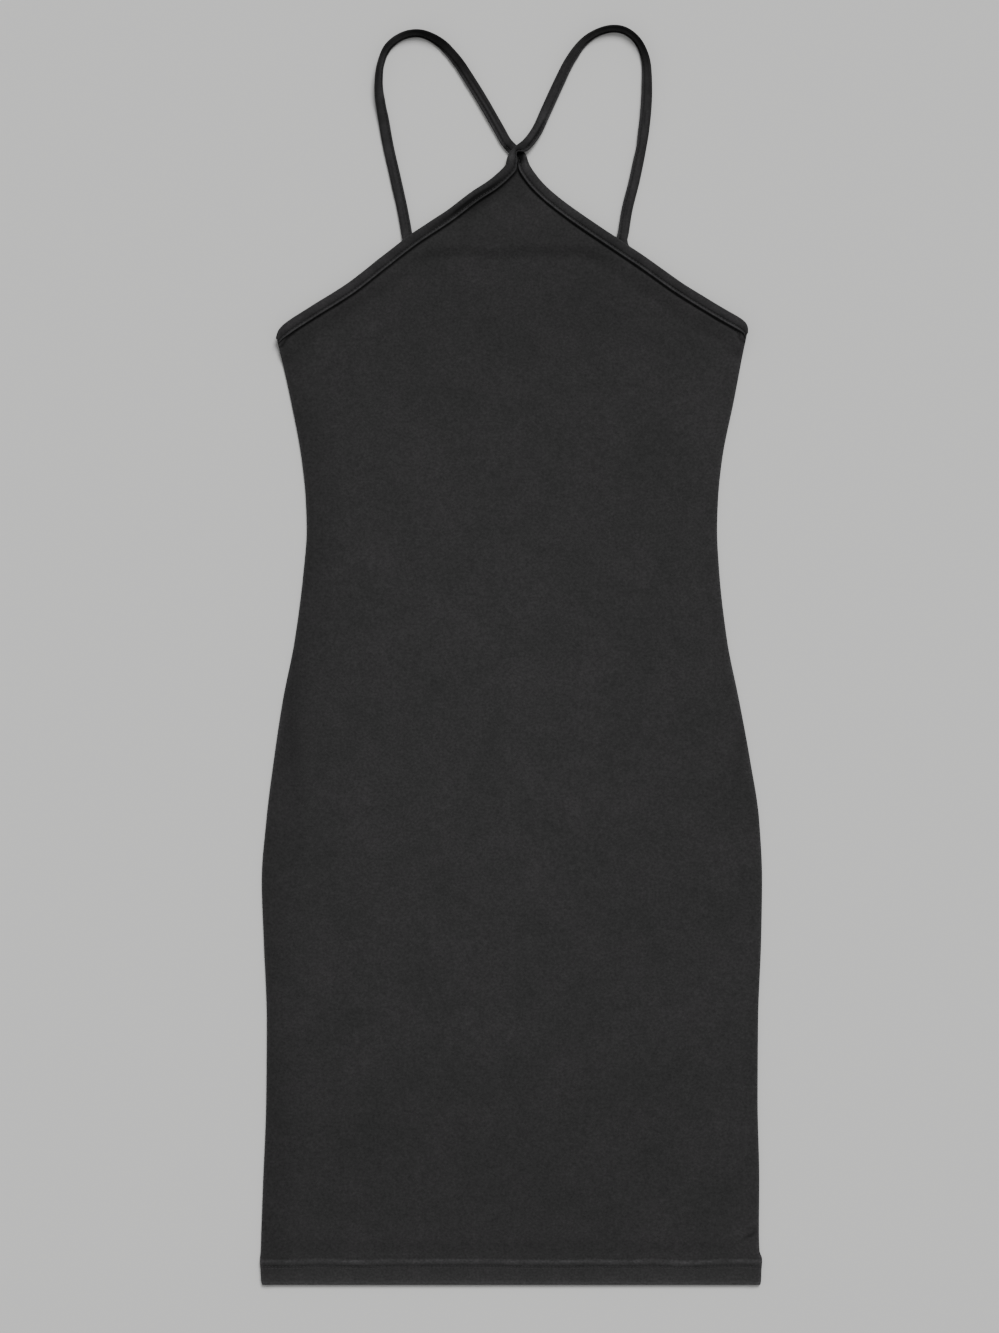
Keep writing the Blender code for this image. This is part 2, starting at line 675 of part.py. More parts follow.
def main():
    for obj in list(bpy.data.objects):
        bpy.data.objects.remove(obj, do_unlink=True)
    collection = bpy.data.collections.new("bodycon_dress")
    bpy.context.scene.collection.children.link(collection)

    over = Strip(LEFT_EDGE, RIGHT_STRAP, RIGHT_EDGE, 1.0)
    under = Strip(RIGHT_EDGE, LEFT_STRAP, LEFT_EDGE, -1.0)
    objects = [
        loft("strip_over", over.loops(), collection),
        loft("strip_under", under.loops(), collection),
        loft("back_top_binding", top_binding_rings(under, over), collection),
    ]

    back_left, back_right = back_line(under), back_line(over)
    top_edge = np.array([back_left[-1], back_right[-1]])
    back = BackShape([back_left, back_right, top_edge])
    front = FrontShape([over.centre[over.front], under.centre[under.front]])
    objects.append(back_pattern(under, over).build("back_panel", back, collection))
    objects.append(front_pattern(over, under).build("front_panel", front, collection))

    corners = np.array([v.co for obj in objects for v in obj.data.vertices])
    middle = (corners.min(axis=0) + corners.max(axis=0)) / 2
    origin = bpy.data.objects.new("dress_origin", None)
    collection.objects.link(origin)
    origin.location = (-middle[0], -middle[1], 0.0)
    for obj in objects:
        obj.parent = origin
    bpy.context.view_layer.update()


main()
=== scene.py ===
# A sleeveless stretch dress of dark jersey, laid flat with its front up on a pale floor.
import math

import bmesh
import bpy
import numpy as np
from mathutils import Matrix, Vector, noise


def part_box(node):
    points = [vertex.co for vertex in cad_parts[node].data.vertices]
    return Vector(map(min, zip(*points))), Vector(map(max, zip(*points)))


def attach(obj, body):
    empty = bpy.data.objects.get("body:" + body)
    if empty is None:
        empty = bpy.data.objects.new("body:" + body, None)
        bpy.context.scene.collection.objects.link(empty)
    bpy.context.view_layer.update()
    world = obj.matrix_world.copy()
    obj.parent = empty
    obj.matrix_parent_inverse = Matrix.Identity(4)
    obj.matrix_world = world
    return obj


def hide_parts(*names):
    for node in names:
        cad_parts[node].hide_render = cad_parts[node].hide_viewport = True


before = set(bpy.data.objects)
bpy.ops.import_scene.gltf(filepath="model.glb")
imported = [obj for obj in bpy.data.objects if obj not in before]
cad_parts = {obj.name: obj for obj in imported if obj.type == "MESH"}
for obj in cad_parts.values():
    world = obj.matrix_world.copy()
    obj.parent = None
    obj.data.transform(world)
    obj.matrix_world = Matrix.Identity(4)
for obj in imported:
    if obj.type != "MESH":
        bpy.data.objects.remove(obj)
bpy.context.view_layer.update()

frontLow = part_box("front_panel")[0]

# The cut, in metres: "across" is counted from the centre line and "up" from the hem.
cloth = {
    "wall": 0.001,  # one layer
    "gap": 0.0003,  # between layers
    "backTop": 0.8968,
    "seamTop": 0.8043,
    "boundThick": 0.0036,  # a folded strip with the panel's edge in it
    "strapThick": 0.0023,
    "stripWidth": 0.0094,
}
layer = cloth["wall"] + cloth["gap"]
stack = cloth["boundThick"] + cloth["gap"]
topMiddle = cloth["backTop"] - cloth["stripWidth"] / 2  # where the strip on the back's top edge lies

seamRows = np.array([
    # up, left, right of the centre line
    (0.0, 0.2137, 0.2126), (0.004, 0.2147, 0.2132), (0.012, 0.2151, 0.2135),
    (0.0215, 0.2157, 0.2141), (0.029, 0.215, 0.2119), (0.046, 0.2145, 0.2114),
    (0.089, 0.2129, 0.2117), (0.1575, 0.2103, 0.2103), (0.226, 0.2098, 0.2107),
    (0.2945, 0.2124, 0.2133), (0.346, 0.2141, 0.2141), (0.3975, 0.2102, 0.2116),
    (0.449, 0.2038, 0.2038), (0.5, 0.1961, 0.1944), (0.5515, 0.1859, 0.1841),
    (0.6115, 0.1782, 0.1773), (0.646, 0.1756, 0.1756), (0.6715, 0.1764, 0.1764),
    (0.706, 0.1799, 0.1799), (0.757, 0.1893, 0.1901), (0.8043, 0.2, 0.199),
])
shiftX, shiftY = frontLow.x + seamRows[:, 1].max(), frontLow.y

leftEdge = [
    # across, up, folded width of the strip there
    (-0.2006, 0.8077, 0.0042), (-0.1984, 0.8118, 0.0068), (-0.1949, 0.8154, 0.0086),
    (-0.1889, 0.8201, 0.0093), (-0.1706, 0.8319, 0.0094), (-0.1377, 0.8527, 0.0094),
    (-0.1112, 0.8733, 0.0094), (-0.0846, 0.8938, 0.0094), (-0.0539, 0.9143, 0.0094),
    (-0.0317, 0.9314, 0.0094), (-0.0158, 0.9421, 0.0094), (-0.006, 0.9507, 0.0094),
    (-0.0013, 0.9562, 0.0094),
]
rightEdge = [
    (0.2006, 0.8122, 0.0042), (0.2, 0.816, 0.006), (0.1979, 0.8189, 0.0078),
    (0.1938, 0.822, 0.009), (0.1765, 0.832, 0.0094), (0.143, 0.8526, 0.0094),
    (0.1138, 0.8732, 0.0094), (0.0831, 0.8938, 0.0094), (0.0528, 0.9145, 0.0094),
    (0.0331, 0.9299, 0.0094), (0.0218, 0.9408, 0.0094), (0.0155, 0.9486, 0.0094),
    (0.0112, 0.9553, 0.0094),
]
rightStrap = [
    # across, up, turn on edge in degrees, and the lift where it lies on the other strap
    (-0.0003, 0.9602, 0, 0.0026), (0.0009, 0.9641, 0, 0.0034), (0.0054, 0.9695, 0, 0.0038),
    (0.0129, 0.9757, 0, 0.0034), (0.0206, 0.9862, 0, 0.0012), (0.0294, 1.005, 5),
    (0.0394, 1.0269, 15), (0.0502, 1.0484, 38), (0.0641, 1.0655, 62),
    (0.0814, 1.0737, 70), (0.0951, 1.0731, 70), (0.1071, 1.0642, 66),
    (0.1142, 1.0484, 52), (0.1155, 1.0227, 30), (0.1139, 0.997, 10),
    (0.1101, 0.9713, 0), (0.1049, 0.9456, 0), (0.0985, 0.9199, 0),
    (0.0955, 0.9011, 0), (0.0942, 0.8933, 0), (0.0961, 0.8866, 0),
    (0.1021, 0.8799, 0),
]
leftStrap = [
    (0.0094, 0.9598, 8), (0.0083, 0.9636, 14), (0.0057, 0.9676, 3),
    (0.0006, 0.9718, 0), (-0.0045, 0.9772, 0), (-0.0102, 0.9871, 0),
    (-0.0202, 1.0047, 0), (-0.0337, 1.0269, 8), (-0.048, 1.0484, 28),
    (-0.0617, 1.0625, 50), (-0.0779, 1.0701, 66), (-0.0925, 1.0685, 68),
    (-0.1058, 1.0591, 65), (-0.1124, 1.0444, 65), (-0.1141, 1.0227, 48),
    (-0.1103, 0.9995, 10), (-0.1062, 0.9756, 0), (-0.0994, 0.9456, 0),
    (-0.0938, 0.9199, 0), (-0.0904, 0.9011, 0), (-0.0895, 0.8938, 0),
    (-0.0916, 0.8878, 0), (-0.0971, 0.883, 0),
]
sharedRows = 7  # rows of a front edge that the back's armhole edge follows
backInset = 0.0008


def ease(value, start, end):
    share = np.clip((np.asarray(value, float) - start) / (end - start), 0.0, 1.0)
    return share * share * (3.0 - 2.0 * share)


def bump(value, middle, spread, height=1.0):
    return height * np.exp(-((np.asarray(value, float) - middle) / spread) ** 2)


def softOval(points, across, up, halfLength, halfWidth, angle):
    turn = math.radians(angle)
    dx, dy = points[:, 0] - across, points[:, 1] - up
    lengthways = dx * math.cos(turn) + dy * math.sin(turn)
    sideways = dy * math.cos(turn) - dx * math.sin(turn)
    return np.exp(-(lengthways / halfLength) ** 2 - (sideways / halfWidth) ** 2)


def sumOvals(points, table):
    # soft ovals: across, up, half length, half width, angle in degrees, amount
    total = np.zeros(len(points))
    for *oval, amount in table:
        total += amount * softOval(points, *oval)
    return total


def seamAcross(side, ups):
    # a smooth curve through the side seam's rows, never past them
    known, values = seamRows[:, 0], seamRows[:, 1 if side < 0 else 2]
    step = np.diff(known)
    slope = np.diff(values) / step
    product = slope[:-1] * slope[1:]
    both = np.where(product > 0.0, slope[:-1] + slope[1:], 1.0)
    inner = np.where(product > 0.0, 2.0 * product / both, 0.0)
    tangent = np.concatenate([slope[:1], inner, slope[-1:]])
    ups = np.asarray(ups, float)
    k = np.clip(np.searchsorted(known, ups, side="right") - 1, 0, len(step) - 1)
    t = np.clip((ups - known[k]) / step[k], 0.0, 1.0)
    across = (
        (2 * t**3 - 3 * t**2 + 1) * values[k]
        + (t**3 - 2 * t**2 + t) * step[k] * tangent[k]
        + (-2 * t**3 + 3 * t**2) * values[k + 1]
        + (t**3 - t**2) * step[k] * tangent[k + 1]
    )
    return side * across


def smoothRoute(knots, steps=24):
    # centripetal curve through the first two columns, the others carried along
    padded = np.vstack([2 * knots[0] - knots[1], knots, 2 * knots[-1] - knots[-2]])
    points = []
    for i in range(1, len(padded) - 2):
        a, b, c, d = padded[i - 1:i + 3]
        t1, t2, t3 = np.cumsum([np.linalg.norm(q[:2] - p[:2]) ** 0.5 for p, q in ((a, b), (b, c), (c, d))])
        for t in np.linspace(t1, t2, steps, endpoint=False):
            ab = a + (b - a) * t / t1
            bc = b + (c - b) * (t - t1) / (t2 - t1)
            cd = c + (d - c) * (t - t2) / (t3 - t2)
            abc = ab + (bc - ab) * t / t2
            bcd = bc + (cd - bc) * (t - t1) / (t3 - t1)
            points.append(abc + (bcd - abc) * (t - t1) / (t2 - t1))
    points.append(knots[-1])
    return np.array(points)


def evenStations(route, spacing):
    step = np.linalg.norm(np.diff(route[:, :2], axis=0), axis=1)
    length = np.concatenate([[0.0], np.cumsum(step)])
    along = np.linspace(0.0, length[-1], int(round(length[-1] / spacing)) + 1)
    return along, np.column_stack([np.interp(along, length, column) for column in route.T])


def distanceTo(lines, points):
    # how far each point is from the nearest of the lines
    nearest = np.full(len(points), np.inf)
    for line in lines:
        for a, run in zip(line[:-1], np.diff(line, axis=0)):
            t = np.clip(((points - a) @ run) / np.sum(run**2), 0.0, 1.0)
            nearest = np.minimum(nearest, np.linalg.norm(points - a - t[:, None] * run, axis=1))
    return nearest


def softNoise(points, size, height, seed):
    # soft random field up to about this height either way, the same on every run
    field = np.array([noise.noise(Vector((x / size, y / size, seed))) for x, y in points]) * 1.6
    return height * field


def noiseAlong(across, size, height, seed):
    return softNoise(np.column_stack([across, np.zeros(len(across))]), size, height, seed)


def toWorld(points):
    return np.asarray(points, float) + np.array([shiftX, shiftY, 0.0])


def addObject(name, data):
    obj = bpy.data.objects.new(name, data)
    bpy.context.scene.collection.objects.link(obj)
    return obj


def makeObject(name, verts, faces, material):
    mesh = bpy.data.meshes.new(name)
    mesh.from_pydata([tuple(v) for v in verts], [], faces)
    mesh.materials.append(material)
    mesh.shade_smooth()
    mesh.validate()
    return addObject(name, mesh)


def pointOutwards(obj):
    bm = bmesh.new()
    bm.from_mesh(obj.data)
    bmesh.ops.recalc_face_normals(bm, faces=bm.faces)
    bm.to_mesh(obj.data)
    bm.free()


def storeFloat(obj, name, values):
    attribute = obj.data.attributes.new(name, "FLOAT", "POINT")
    attribute.data.foreach_set("value", np.asarray(values, np.float32))


def feed(socket, value):
    # gives a socket a value, or joins another node's output to it
    if isinstance(value, bpy.types.NodeSocket):
        socket.id_data.links.new(value, socket)
    else:
        socket.default_value = value


def setNode(node, **values):
    for key, value in values.items():
        if key in node.bl_rna.properties:
            setattr(node, key, value)
        else:
            feed(node.inputs[key.replace("_", " ")], value)
    return node


def addNode(tree, kind, **values):
    return setNode(tree.nodes.new(kind), **values)


def mathNode(tree, operation, *values, kind="ShaderNodeMath"):
    node = addNode(tree, kind, operation=operation)
    for socket, value in zip(node.inputs, values):
        feed(socket, value)
    return node.outputs[0]


def mixNode(tree, factor, first, second):
    node = addNode(tree, "ShaderNodeMix", data_type="RGBA", Factor=factor, A=first, B=second)
    return node.outputs["Result"]


def noiseNode(tree, where, size, detail, roughness):
    node = addNode(tree, "ShaderNodeTexNoise", Vector=where, Scale=1.0 / size, Detail=detail)
    return setNode(node, Roughness=roughness).outputs[0]


def newMaterial(name):
    material = bpy.data.materials.new(name)
    material.use_nodes = True
    tree = material.node_tree
    return material, tree, tree.nodes["Principled BSDF"]


def knitHeight(tree, where, look):
    # columns of small V-shaped loops
    split = addNode(tree, "ShaderNodeSeparateXYZ", Vector=where)
    wale = mathNode(tree, "DIVIDE", split.outputs["X"], look["wale"])
    inWale = mathNode(tree, "SUBTRACT", mathNode(tree, "FRACT", wale), 0.5)
    lean = mathNode(tree, "MULTIPLY", mathNode(tree, "ABSOLUTE", inWale), look["lean"])
    course = mathNode(tree, "DIVIDE", split.outputs["Y"], look["course"])
    turn = mathNode(tree, "MULTIPLY", mathNode(tree, "ADD", course, lean), math.tau)
    ridge = mathNode(tree, "COSINE", mathNode(tree, "MULTIPLY", inWale, math.pi))
    loop = mathNode(tree, "MULTIPLY_ADD", mathNode(tree, "SINE", turn), 0.5, 1.0)
    return mathNode(tree, "MULTIPLY", ridge, loop)


def makeJersey(name, look, followStrip=False):
    # plain knit, heathered and slightly uneven in tone
    material, tree, shader = newMaterial(name)
    setNode(shader, Sheen_Weight=look["sheen"], Sheen_Roughness=look["sheenRoughness"])
    setNode(shader, Sheen_Tint=(*look["sheenTint"], 1.0), Specular_IOR_Level=look["gloss"])
    place = addNode(tree, "ShaderNodeTexCoord").outputs["Object"]
    where = place
    if followStrip:
        where = addNode(tree, "ShaderNodeUVMap", uv_map="strip").outputs["UV"]
    knit = knitHeight(tree, where, look)

    # tone: the named multipliers all lie around 1
    lengthways = addNode(tree, "ShaderNodeMapping", Vector=where, Scale=(1.0, look["streak"], 1.0))
    tone = mathNode(tree, "MULTIPLY_ADD", knit, look["pore"], 1.0 - look["pore"])
    textures = {}
    for layerName, source in (("grain", lengthways.outputs[0]), ("mottle", place), ("cloud", place)):
        size, amount, detail = look[layerName]
        textures[layerName] = noiseNode(tree, source, size, detail, look["layerRoughness"])
        around = mathNode(tree, "MULTIPLY_ADD", textures[layerName], amount, 1.0 - amount / 2)
        tone = mathNode(tree, "MULTIPLY", tone, around)
    # painted shade and painted light stored on the mesh, with some uneven tone
    paintedLightAndTone = addNode(tree, "ShaderNodeAttribute", attribute_name="paintedLightAndTone").outputs["Fac"]
    tone = mathNode(tree, "MULTIPLY", tone, mathNode(tree, "ADD", paintedLightAndTone, 1.0))

    # wear, with painted highlight on the lips, the hem's ridge and folded edges
    wearAndHighlight = addNode(tree, "ShaderNodeAttribute", attribute_name="wearAndHighlight").outputs["Fac"]
    grainWearAndHighlight = mathNode(tree, "MULTIPLY_ADD", textures["grain"], *look["wearAndHighlightGrain"])
    wearAndHighlightShare = mathNode(tree, "MULTIPLY", wearAndHighlight, grainWearAndHighlight)
    fibre = mixNode(tree, textures["mottle"], (*look["dark"], 1.0), (*look["light"], 1.0))
    wornAndHighlighted = mixNode(tree, wearAndHighlightShare, fibre, (*look["wearAndHighlightColour"], 1.0))
    dye = mixNode(tree, textures["cloud"], (*look["coolDye"], 1.0), (*look["warmDye"], 1.0))
    dyed = mathNode(tree, "MULTIPLY", wornAndHighlighted, dye, kind="ShaderNodeVectorMath")
    colour = addNode(tree, "ShaderNodeVectorMath", operation="SCALE", Scale=tone)
    feed(colour.inputs[0], dyed)
    matt = mathNode(tree, "MULTIPLY_ADD", textures["mottle"], look["roughnessSpread"], look["roughness"])

    fluff = noiseNode(tree, place, *look["fluff"])
    normal = None
    for kind, height in (("fluffBump", fluff), ("unevenBump", textures["mottle"]), ("knitBump", knit)):
        strength, depth = look[kind]
        raised = addNode(tree, "ShaderNodeBump", Strength=strength, Distance=depth, Height=height)
        if normal is not None:
            feed(raised.inputs["Normal"], normal)
        normal = raised.outputs["Normal"]
    setNode(shader, Base_Color=colour.outputs[0], Roughness=matt, Normal=normal)
    return material


jerseyLook = {
    "dark": (0.0282, 0.0277, 0.028),
    "light": (0.0386, 0.0378, 0.0384),
    # colour of worn places and of painted highlight
    "wearAndHighlightColour": (0.07, 0.0685, 0.071),
    "coolDye": (0.965, 1.018, 0.985),  # the dye is faintly uneven in hue
    "warmDye": (1.035, 0.986, 1.02),
    "wearAndHighlightGrain": (1.6, 0.2),  # how much the grain shows in the wear and painted highlight
    "roughness": 0.8,
    "roughnessSpread": 0.12,
    "gloss": 0.2,
    "sheen": 0.05,
    "sheenRoughness": 0.45,
    "sheenTint": (0.8, 0.79, 0.82),
    "wale": 0.00085,
    "course": 0.00065,
    "lean": 1.1,
    "pore": 0.22,  # painted shade between the loops: how much darker the cloth is there
    "streak": 1.1,  # the grain is a touch finer along the wales
    "layerRoughness": 0.6,
    "grain": (0.0021, 1.28, 3.0),  # size, strength, detail
    "mottle": (0.0075, 0.14, 4.0),
    "cloud": (0.048, 0.46, 5.0),
    "fluff": (0.0007, 4.0, 0.7),  # size, detail, roughness
    "fluffBump": (0.3, 0.0004),  # strength, depth
    "unevenBump": (0.35, 0.0006),
    "knitBump": (0.35, 0.00025),
}
bindingLook = dict(jerseyLook, dark=(0.0284, 0.0276, 0.0284), light=(0.0388, 0.0377, 0.0388))
threadLook = {
    "colour": (0.025, 0.0242, 0.025),
    "tones": (0.7, 1.3),  # darker and lighter strands
    "roughness": 0.62,
    "twist": 0.00055,
    "uneven": 1.5,
    "bump": (0.5, 0.00008),
}


def makeThread(name, look):
    material, tree, shader = newMaterial(name)
    place = addNode(tree, "ShaderNodeTexCoord").outputs["Object"]
    strands = addNode(tree, "ShaderNodeTexWave", bands_direction="DIAGONAL", Vector=place)
    setNode(strands, Scale=math.pi / 10 / look["twist"], Distortion=look["uneven"])
    twist = strands.outputs["Fac"]
    tone = addNode(tree, "ShaderNodeValToRGB", Fac=twist)
    for element, share in zip(tone.color_ramp.elements, look["tones"]):
        element.color = (*[c * share for c in look["colour"]], 1.0)
    strength, depth = look["bump"]
    raised = addNode(tree, "ShaderNodeBump", Strength=strength, Distance=depth, Height=twist)
    setNode(shader, Base_Color=tone.outputs["Color"], Normal=raised.outputs["Normal"])
    shader.inputs["Roughness"].default_value = look["roughness"]
    return material


panelJersey = makeJersey("darkJersey", jerseyLook)
bindingJersey = makeJersey("bindingJersey", bindingLook, followStrip=True)
sewingThread = makeThread("sewingThread", threadLook)
print("materials made")

darkest = -0.92  # the least that all shades at one point add up to
# painted shade and painted light in soft ovals: darker where the amount is below 0, lighter above it; some
# broad ones are uneven tone
paintedLightAndToneOvals = {"top": []}  # none on the back's top strip
paintedLightAndToneOvals["panel"] = [
    (0.0045, 0.96, 0.028, 0.024, 90, -0.26),
    (0.01, 0.913, 0.12, 0.026, 0, -0.1),
    (-0.153, 0.271, 0.006, 0.004, 20, -0.16),
    (-0.036, 0.226, 0.008, 0.005, 70, 0.1),
    (0.013, 0.29, 0.008, 0.005, 100, 0.1),
    (-0.188, 0.47, 0.082, 0.007, 93, -0.15),
    (-0.1979, 0.4762, 0.045, 0.0034, 79, 0.12),
    (0.195, 0.458, 0.045, 0.006, 84, -0.13),
    (0.1925, 0.513, 0.034, 0.0036, 103, 0.14),
    (-0.02, 0.49, 0.22, 0.13, 90, 0.09),
    (0.0, 0.83, 0.17, 0.048, 0, -0.09),
    (0.0, 0.09, 0.26, 0.09, 0, -0.08),
    (-0.15, 0.12, 0.07, 0.06, 90, -0.05),
    (0.062, 0.884, 0.032, 0.006, -4, -0.06),
    (0.045, 0.892, 0.042, 0.012, -8, -0.05),
    (0.2047, 0.0428, 0.007, 0.0015, 34, -0.34),
    (-0.139, 0.8385, 0.04, 0.0055, 32, -0.2),
    (-0.0253, 0.9253, 0.023, 0.0038, 38, -0.45),
]
paintedLightAndToneOvals["back"] = [
    (0.03, 0.64, 0.12, 0.05, 90, 0.08),
    (-0.09, 0.33, 0.14, 0.07, 70, -0.07),
    (0.12, 0.2, 0.12, 0.06, 110, 0.06),
    (0.0, 0.83, 0.13, 0.035, 0, -0.08),
]
paintedLightAndToneOvals["over"] = [
    (-0.0386, 0.9255, 0.04, 0.0022, 34, -0.5),
    (-0.027, 0.9292, 0.021, 0.0013, 38, -0.32),
    (-0.16, 0.84, 0.048, 0.006, 32, 0.13),
    (-0.0009, 0.964, 0.007, 0.0032, 75, 0.75),
    (0.005, 0.9706, 0.0036, 0.0026, 30, -0.6),
    (0.0124, 0.975, 0.005, 0.0032, 42, -0.42),
    (0.028, 1.0, 0.016, 0.005, 64, 0.2),
    (0.084, 1.074, 0.025, 0.012, 0, -0.66),
    (0.108, 1.064, 0.011, 0.01, -50, -0.4),
    (0.113, 1.055, 0.011, 0.012, -68, -0.4),
    (0.113, 0.995, 0.012, 0.004, 85, 0.16),
]
paintedLightAndToneOvals["under"] = [
    (0.18, 0.831, 0.02, 0.006, -31, 0.16),
    (0.042, 0.924, 0.016, 0.006, -43, 0.08),
    (0.006, 0.965, 0.0048, 0.0038, 90, -1.8),
    (0.0112, 0.9631, 0.006, 0.0013, 98, 0.6),
    (0.0125, 0.956, 0.007, 0.004, -60, 0.22),
    (-0.0045, 0.9721, 0.006, 0.0036, 50, -0.8),
    (-0.073, 1.068, 0.02, 0.012, -20, -0.86),
    (-0.044, 1.048, 0.02, 0.012, -52, -0.45),
    (-0.105, 1.056, 0.009, 0.007, 60, -0.5),
    (-0.02, 1.005, 0.026, 0.01, -60, -0.1),
    (-0.1113, 1.018, 0.004, 0.0022, 85, 0.45),
    (-0.1105, 1.005, 0.017, 0.006, 82, -0.3),
    (-0.113, 1.031, 0.017, 0.006, 85, -0.42),
    (-0.1, 0.95, 0.01, 0.005, 80, -0.1),
]


def paintedLightAndToneAt(points, piece):
    return np.maximum(sumOvals(points, paintedLightAndToneOvals[piece]), darkest)


# Folded strips: one runs up a front edge, over the shoulder and down the back's armhole edge.
strip = {
    "spacing": 0.0014,
    "foldWall": 0.0011,
    "foldRound": 0.0011,
    "foldPoints": 6,
    "innerPoints": 13,  # from the fold to the stitches
    "outerPoints": 8,  # from the stitches to the lip
    "lipPoints": 7,
    "lipOut": 0.0008,  # a bound edge of the front is this much wider at its lip
    "stitchIn": 0.0023,  # stitch line, in from the open edge
    "stitchShade": (-0.0016, 0.0014, 0.16),  # soft shade beside the stitches: place, spread, amount
    "crown": 0.00042,  # soft swelling between fold and stitches
    "groove": 0.00055,
    "grooveSpread": 0.00065,
    "grooveShade": 0.42,  # painted shade in the dip by the stitches
    "foldShade": (0.002, 0.26),  # painted shade on the fold of an unbound strap: spread, amount
    "looseEdgeShade": (0.0013, 0.24),  # painted shade at both its edges
    "boundTone": -0.1,
    "boundEnd": [0.35, 1.0, 1.0, 1.0],  # how far the last rows of a strap are bound on to the back
    "blotch": (0.011, 0.16),  # uneven tone along the strip: pitch, amount
    "lip": 0.00034,
    "lipWearAndHighlight": (0.0009, 0.0008, 0.48),  # wear and painted highlight on the lip: in from the open edge, spread, amount
    # wear and painted highlight round the lip's edge
    "edgeWearAndHighlight": 0.42,
    # wear and painted highlight on the folded edge
    "foldWearAndHighlight": 0.15,
    # painted shade inside the lip's turn and in the slot
    "insideShade": 0.5,
    "swell": (0.0085, 0.55),  # how unevenly the crown swells
    "squeezeSwell": 0.5,  # a squeezed strip is this much thicker
    "pucker": (0.0085, 0.00022),  # uneven gathering by the stitches
    "wander": (0.019, 0.00018),  # the folded edge isn't quite straight
    "sway": (0.042, 5.0),  # degrees that a loose strap leans to and fro
    "swayFrom": (0.98, 1.0),  # only above the crossing
    "swayBelow": 40,  # and not where it is turned up this far
    "edgeFall": (0.9045, 0.95),  # bound edges of the front lie stacked on the back's up to here
}
# across and up of one end and of the other, place from fold (-1) to open edge (1),
# half width, height, tone (painted shade below 0, painted light above)
strapFolds = {}
strapFolds["under"] = [
    (-0.042, 1.038, -0.006, 0.98, -0.25, 0.0009, -0.00075, -0.3),
    (-0.033, 1.025, -0.008, 0.984, 0.15, 0.0008, 0.00045, 0.15),
    (-0.0946, 0.9265, -0.0905, 0.902, 0.0, 0.0008, -0.0006, -0.25),
    (-0.1128, 1.0245, -0.11, 1.012, 0.45, 0.0007, 0.0006, 0.2),
    (-0.1045, 0.968, -0.0965, 0.933, -0.35, 0.0009, -0.0004, -0.2),
]
strapFolds["over"] = [
    (-0.072, 0.902, -0.006, 0.95, 0.34, 0.0013, -0.0007, -0.55),
    (0.056, 1.056, 0.03, 1.008, 0.1, 0.001, -0.00055, -0.15),
    (0.026, 0.998, 0.0095, 0.9745, 0.4, 0.0012, -0.0011, -0.8),
    (0.1153, 1.006, 0.115, 0.99, 0.15, 0.0008, -0.0008, -0.3),
    (0.112, 0.98, 0.107, 0.954, -0.3, 0.0009, -0.0005, -0.2),
    (0.103, 0.938, 0.096, 0.904, 0.1, 0.0008, -0.00045, -0.2),
]
# across, up, reach either way, share of the width that is left
squeezes = {}
squeezes["over"] = [(0.0036, 0.969, 0.0037, 0.52), (0.1105, 0.973, 0.007, 0.93)]
squeezes["under"] = [(-0.1112, 1.006, 0.008, 0.94)]


def edgeLift(up):
    return stack * (1.0 - ease(up, *strip["edgeFall"]))


def inwardAt(rows, i, slotSide):
    a, b = rows[max(i - 1, 0)], rows[min(i + 1, len(rows) - 1)]
    along = np.array([b[0] - a[0], b[1] - a[1]])
    along /= np.linalg.norm(along)
    return -slotSide * np.array([along[1], -along[0]])


def layStrip(name, frontRows, strapRows, backRows, slotSide):
    # each knot: across, up, width, turn, lift, how far bound, 1 on the front
    knots = [(x, y, width, 0.0, 0.0, 1.0, 1.0) for x, y, width in frontRows]
    unbound = len(strapRows) - len(strip["boundEnd"])
    for (x, y, turn, *lift), bound in zip(strapRows, [0.0] * unbound + strip["boundEnd"]):
        knots.append((x, y, cloth["stripWidth"], turn, sum(lift), bound, 0.0))
    for i in range(sharedRows - 1, -1, -1):
        x, y, width = backRows[i]
        inX, inY = inwardAt(backRows, i, slotSide) * backInset
        knots.append((x + inX, y + inY, width, 0.0, 0.0, 1.0, 0.0))
    along, rows = evenStations(smoothRoute(np.array(knots)), strip["spacing"])
    centre, width, turn = rows[:, :2], rows[:, 2], rows[:, 3]
    heading = np.unwrap(np.arctan2(np.gradient(rows[:, 1]), np.gradient(rows[:, 0])))
    full = np.nonzero(width > 0.97 * cloth["stripWidth"])[0]  # the narrowing ends run on straight
    heading[:full[0]] = heading[full[0]]
    heading[full[-1]:] = heading[full[-1]]
    bound = ease(rows[:, 5], 0.0, 1.0)
    onFront = rows[:, 6] > 0.5
    throat = int(np.argmax((bound < 0.999) | ~onFront))
    corner = int(np.nonzero((rows[:, 1] < topMiddle) & ~onFront)[0][0])
    sway = noiseAlong(along, *strip["sway"], slotSide * 3.3)
    sway *= (1.0 - bound) * ease(rows[:, 1], *strip["swayFrom"]) * (turn < strip["swayBelow"])

    def nearest(across, up):
        return int(np.argmin(np.linalg.norm(centre - (across, up), axis=1)))

    squeeze = np.ones(len(along))
    for across, up, reach, left in squeezes[name]:
        squeeze -= bump(along, along[nearest(across, up)], reach, 1.0 - left)
    folds = [(*sorted((nearest(x1, y1), nearest(x2, y2))), *shape)
             for x1, y1, x2, y2, *shape in strapFolds[name]]
    return dict(
        name=name, along=along, centre=centre, width=width, squeeze=squeeze, folds=folds,
        turn=np.radians(turn + sway),
        lift=np.maximum(rows[:, 4], 0.0),
        thick=cloth["strapThick"] + (cloth["boundThick"] - cloth["strapThick"]) * bound,
        loose=1.0 - bound,
        wider=strip["lipOut"] * np.clip(rows[:, 6], 0.0, 1.0),
        cross=slotSide * np.column_stack([np.sin(heading), -np.cos(heading)]),
        onFront=onFront, front=slice(0, throat), back=slice(corner, len(rows)),
    )


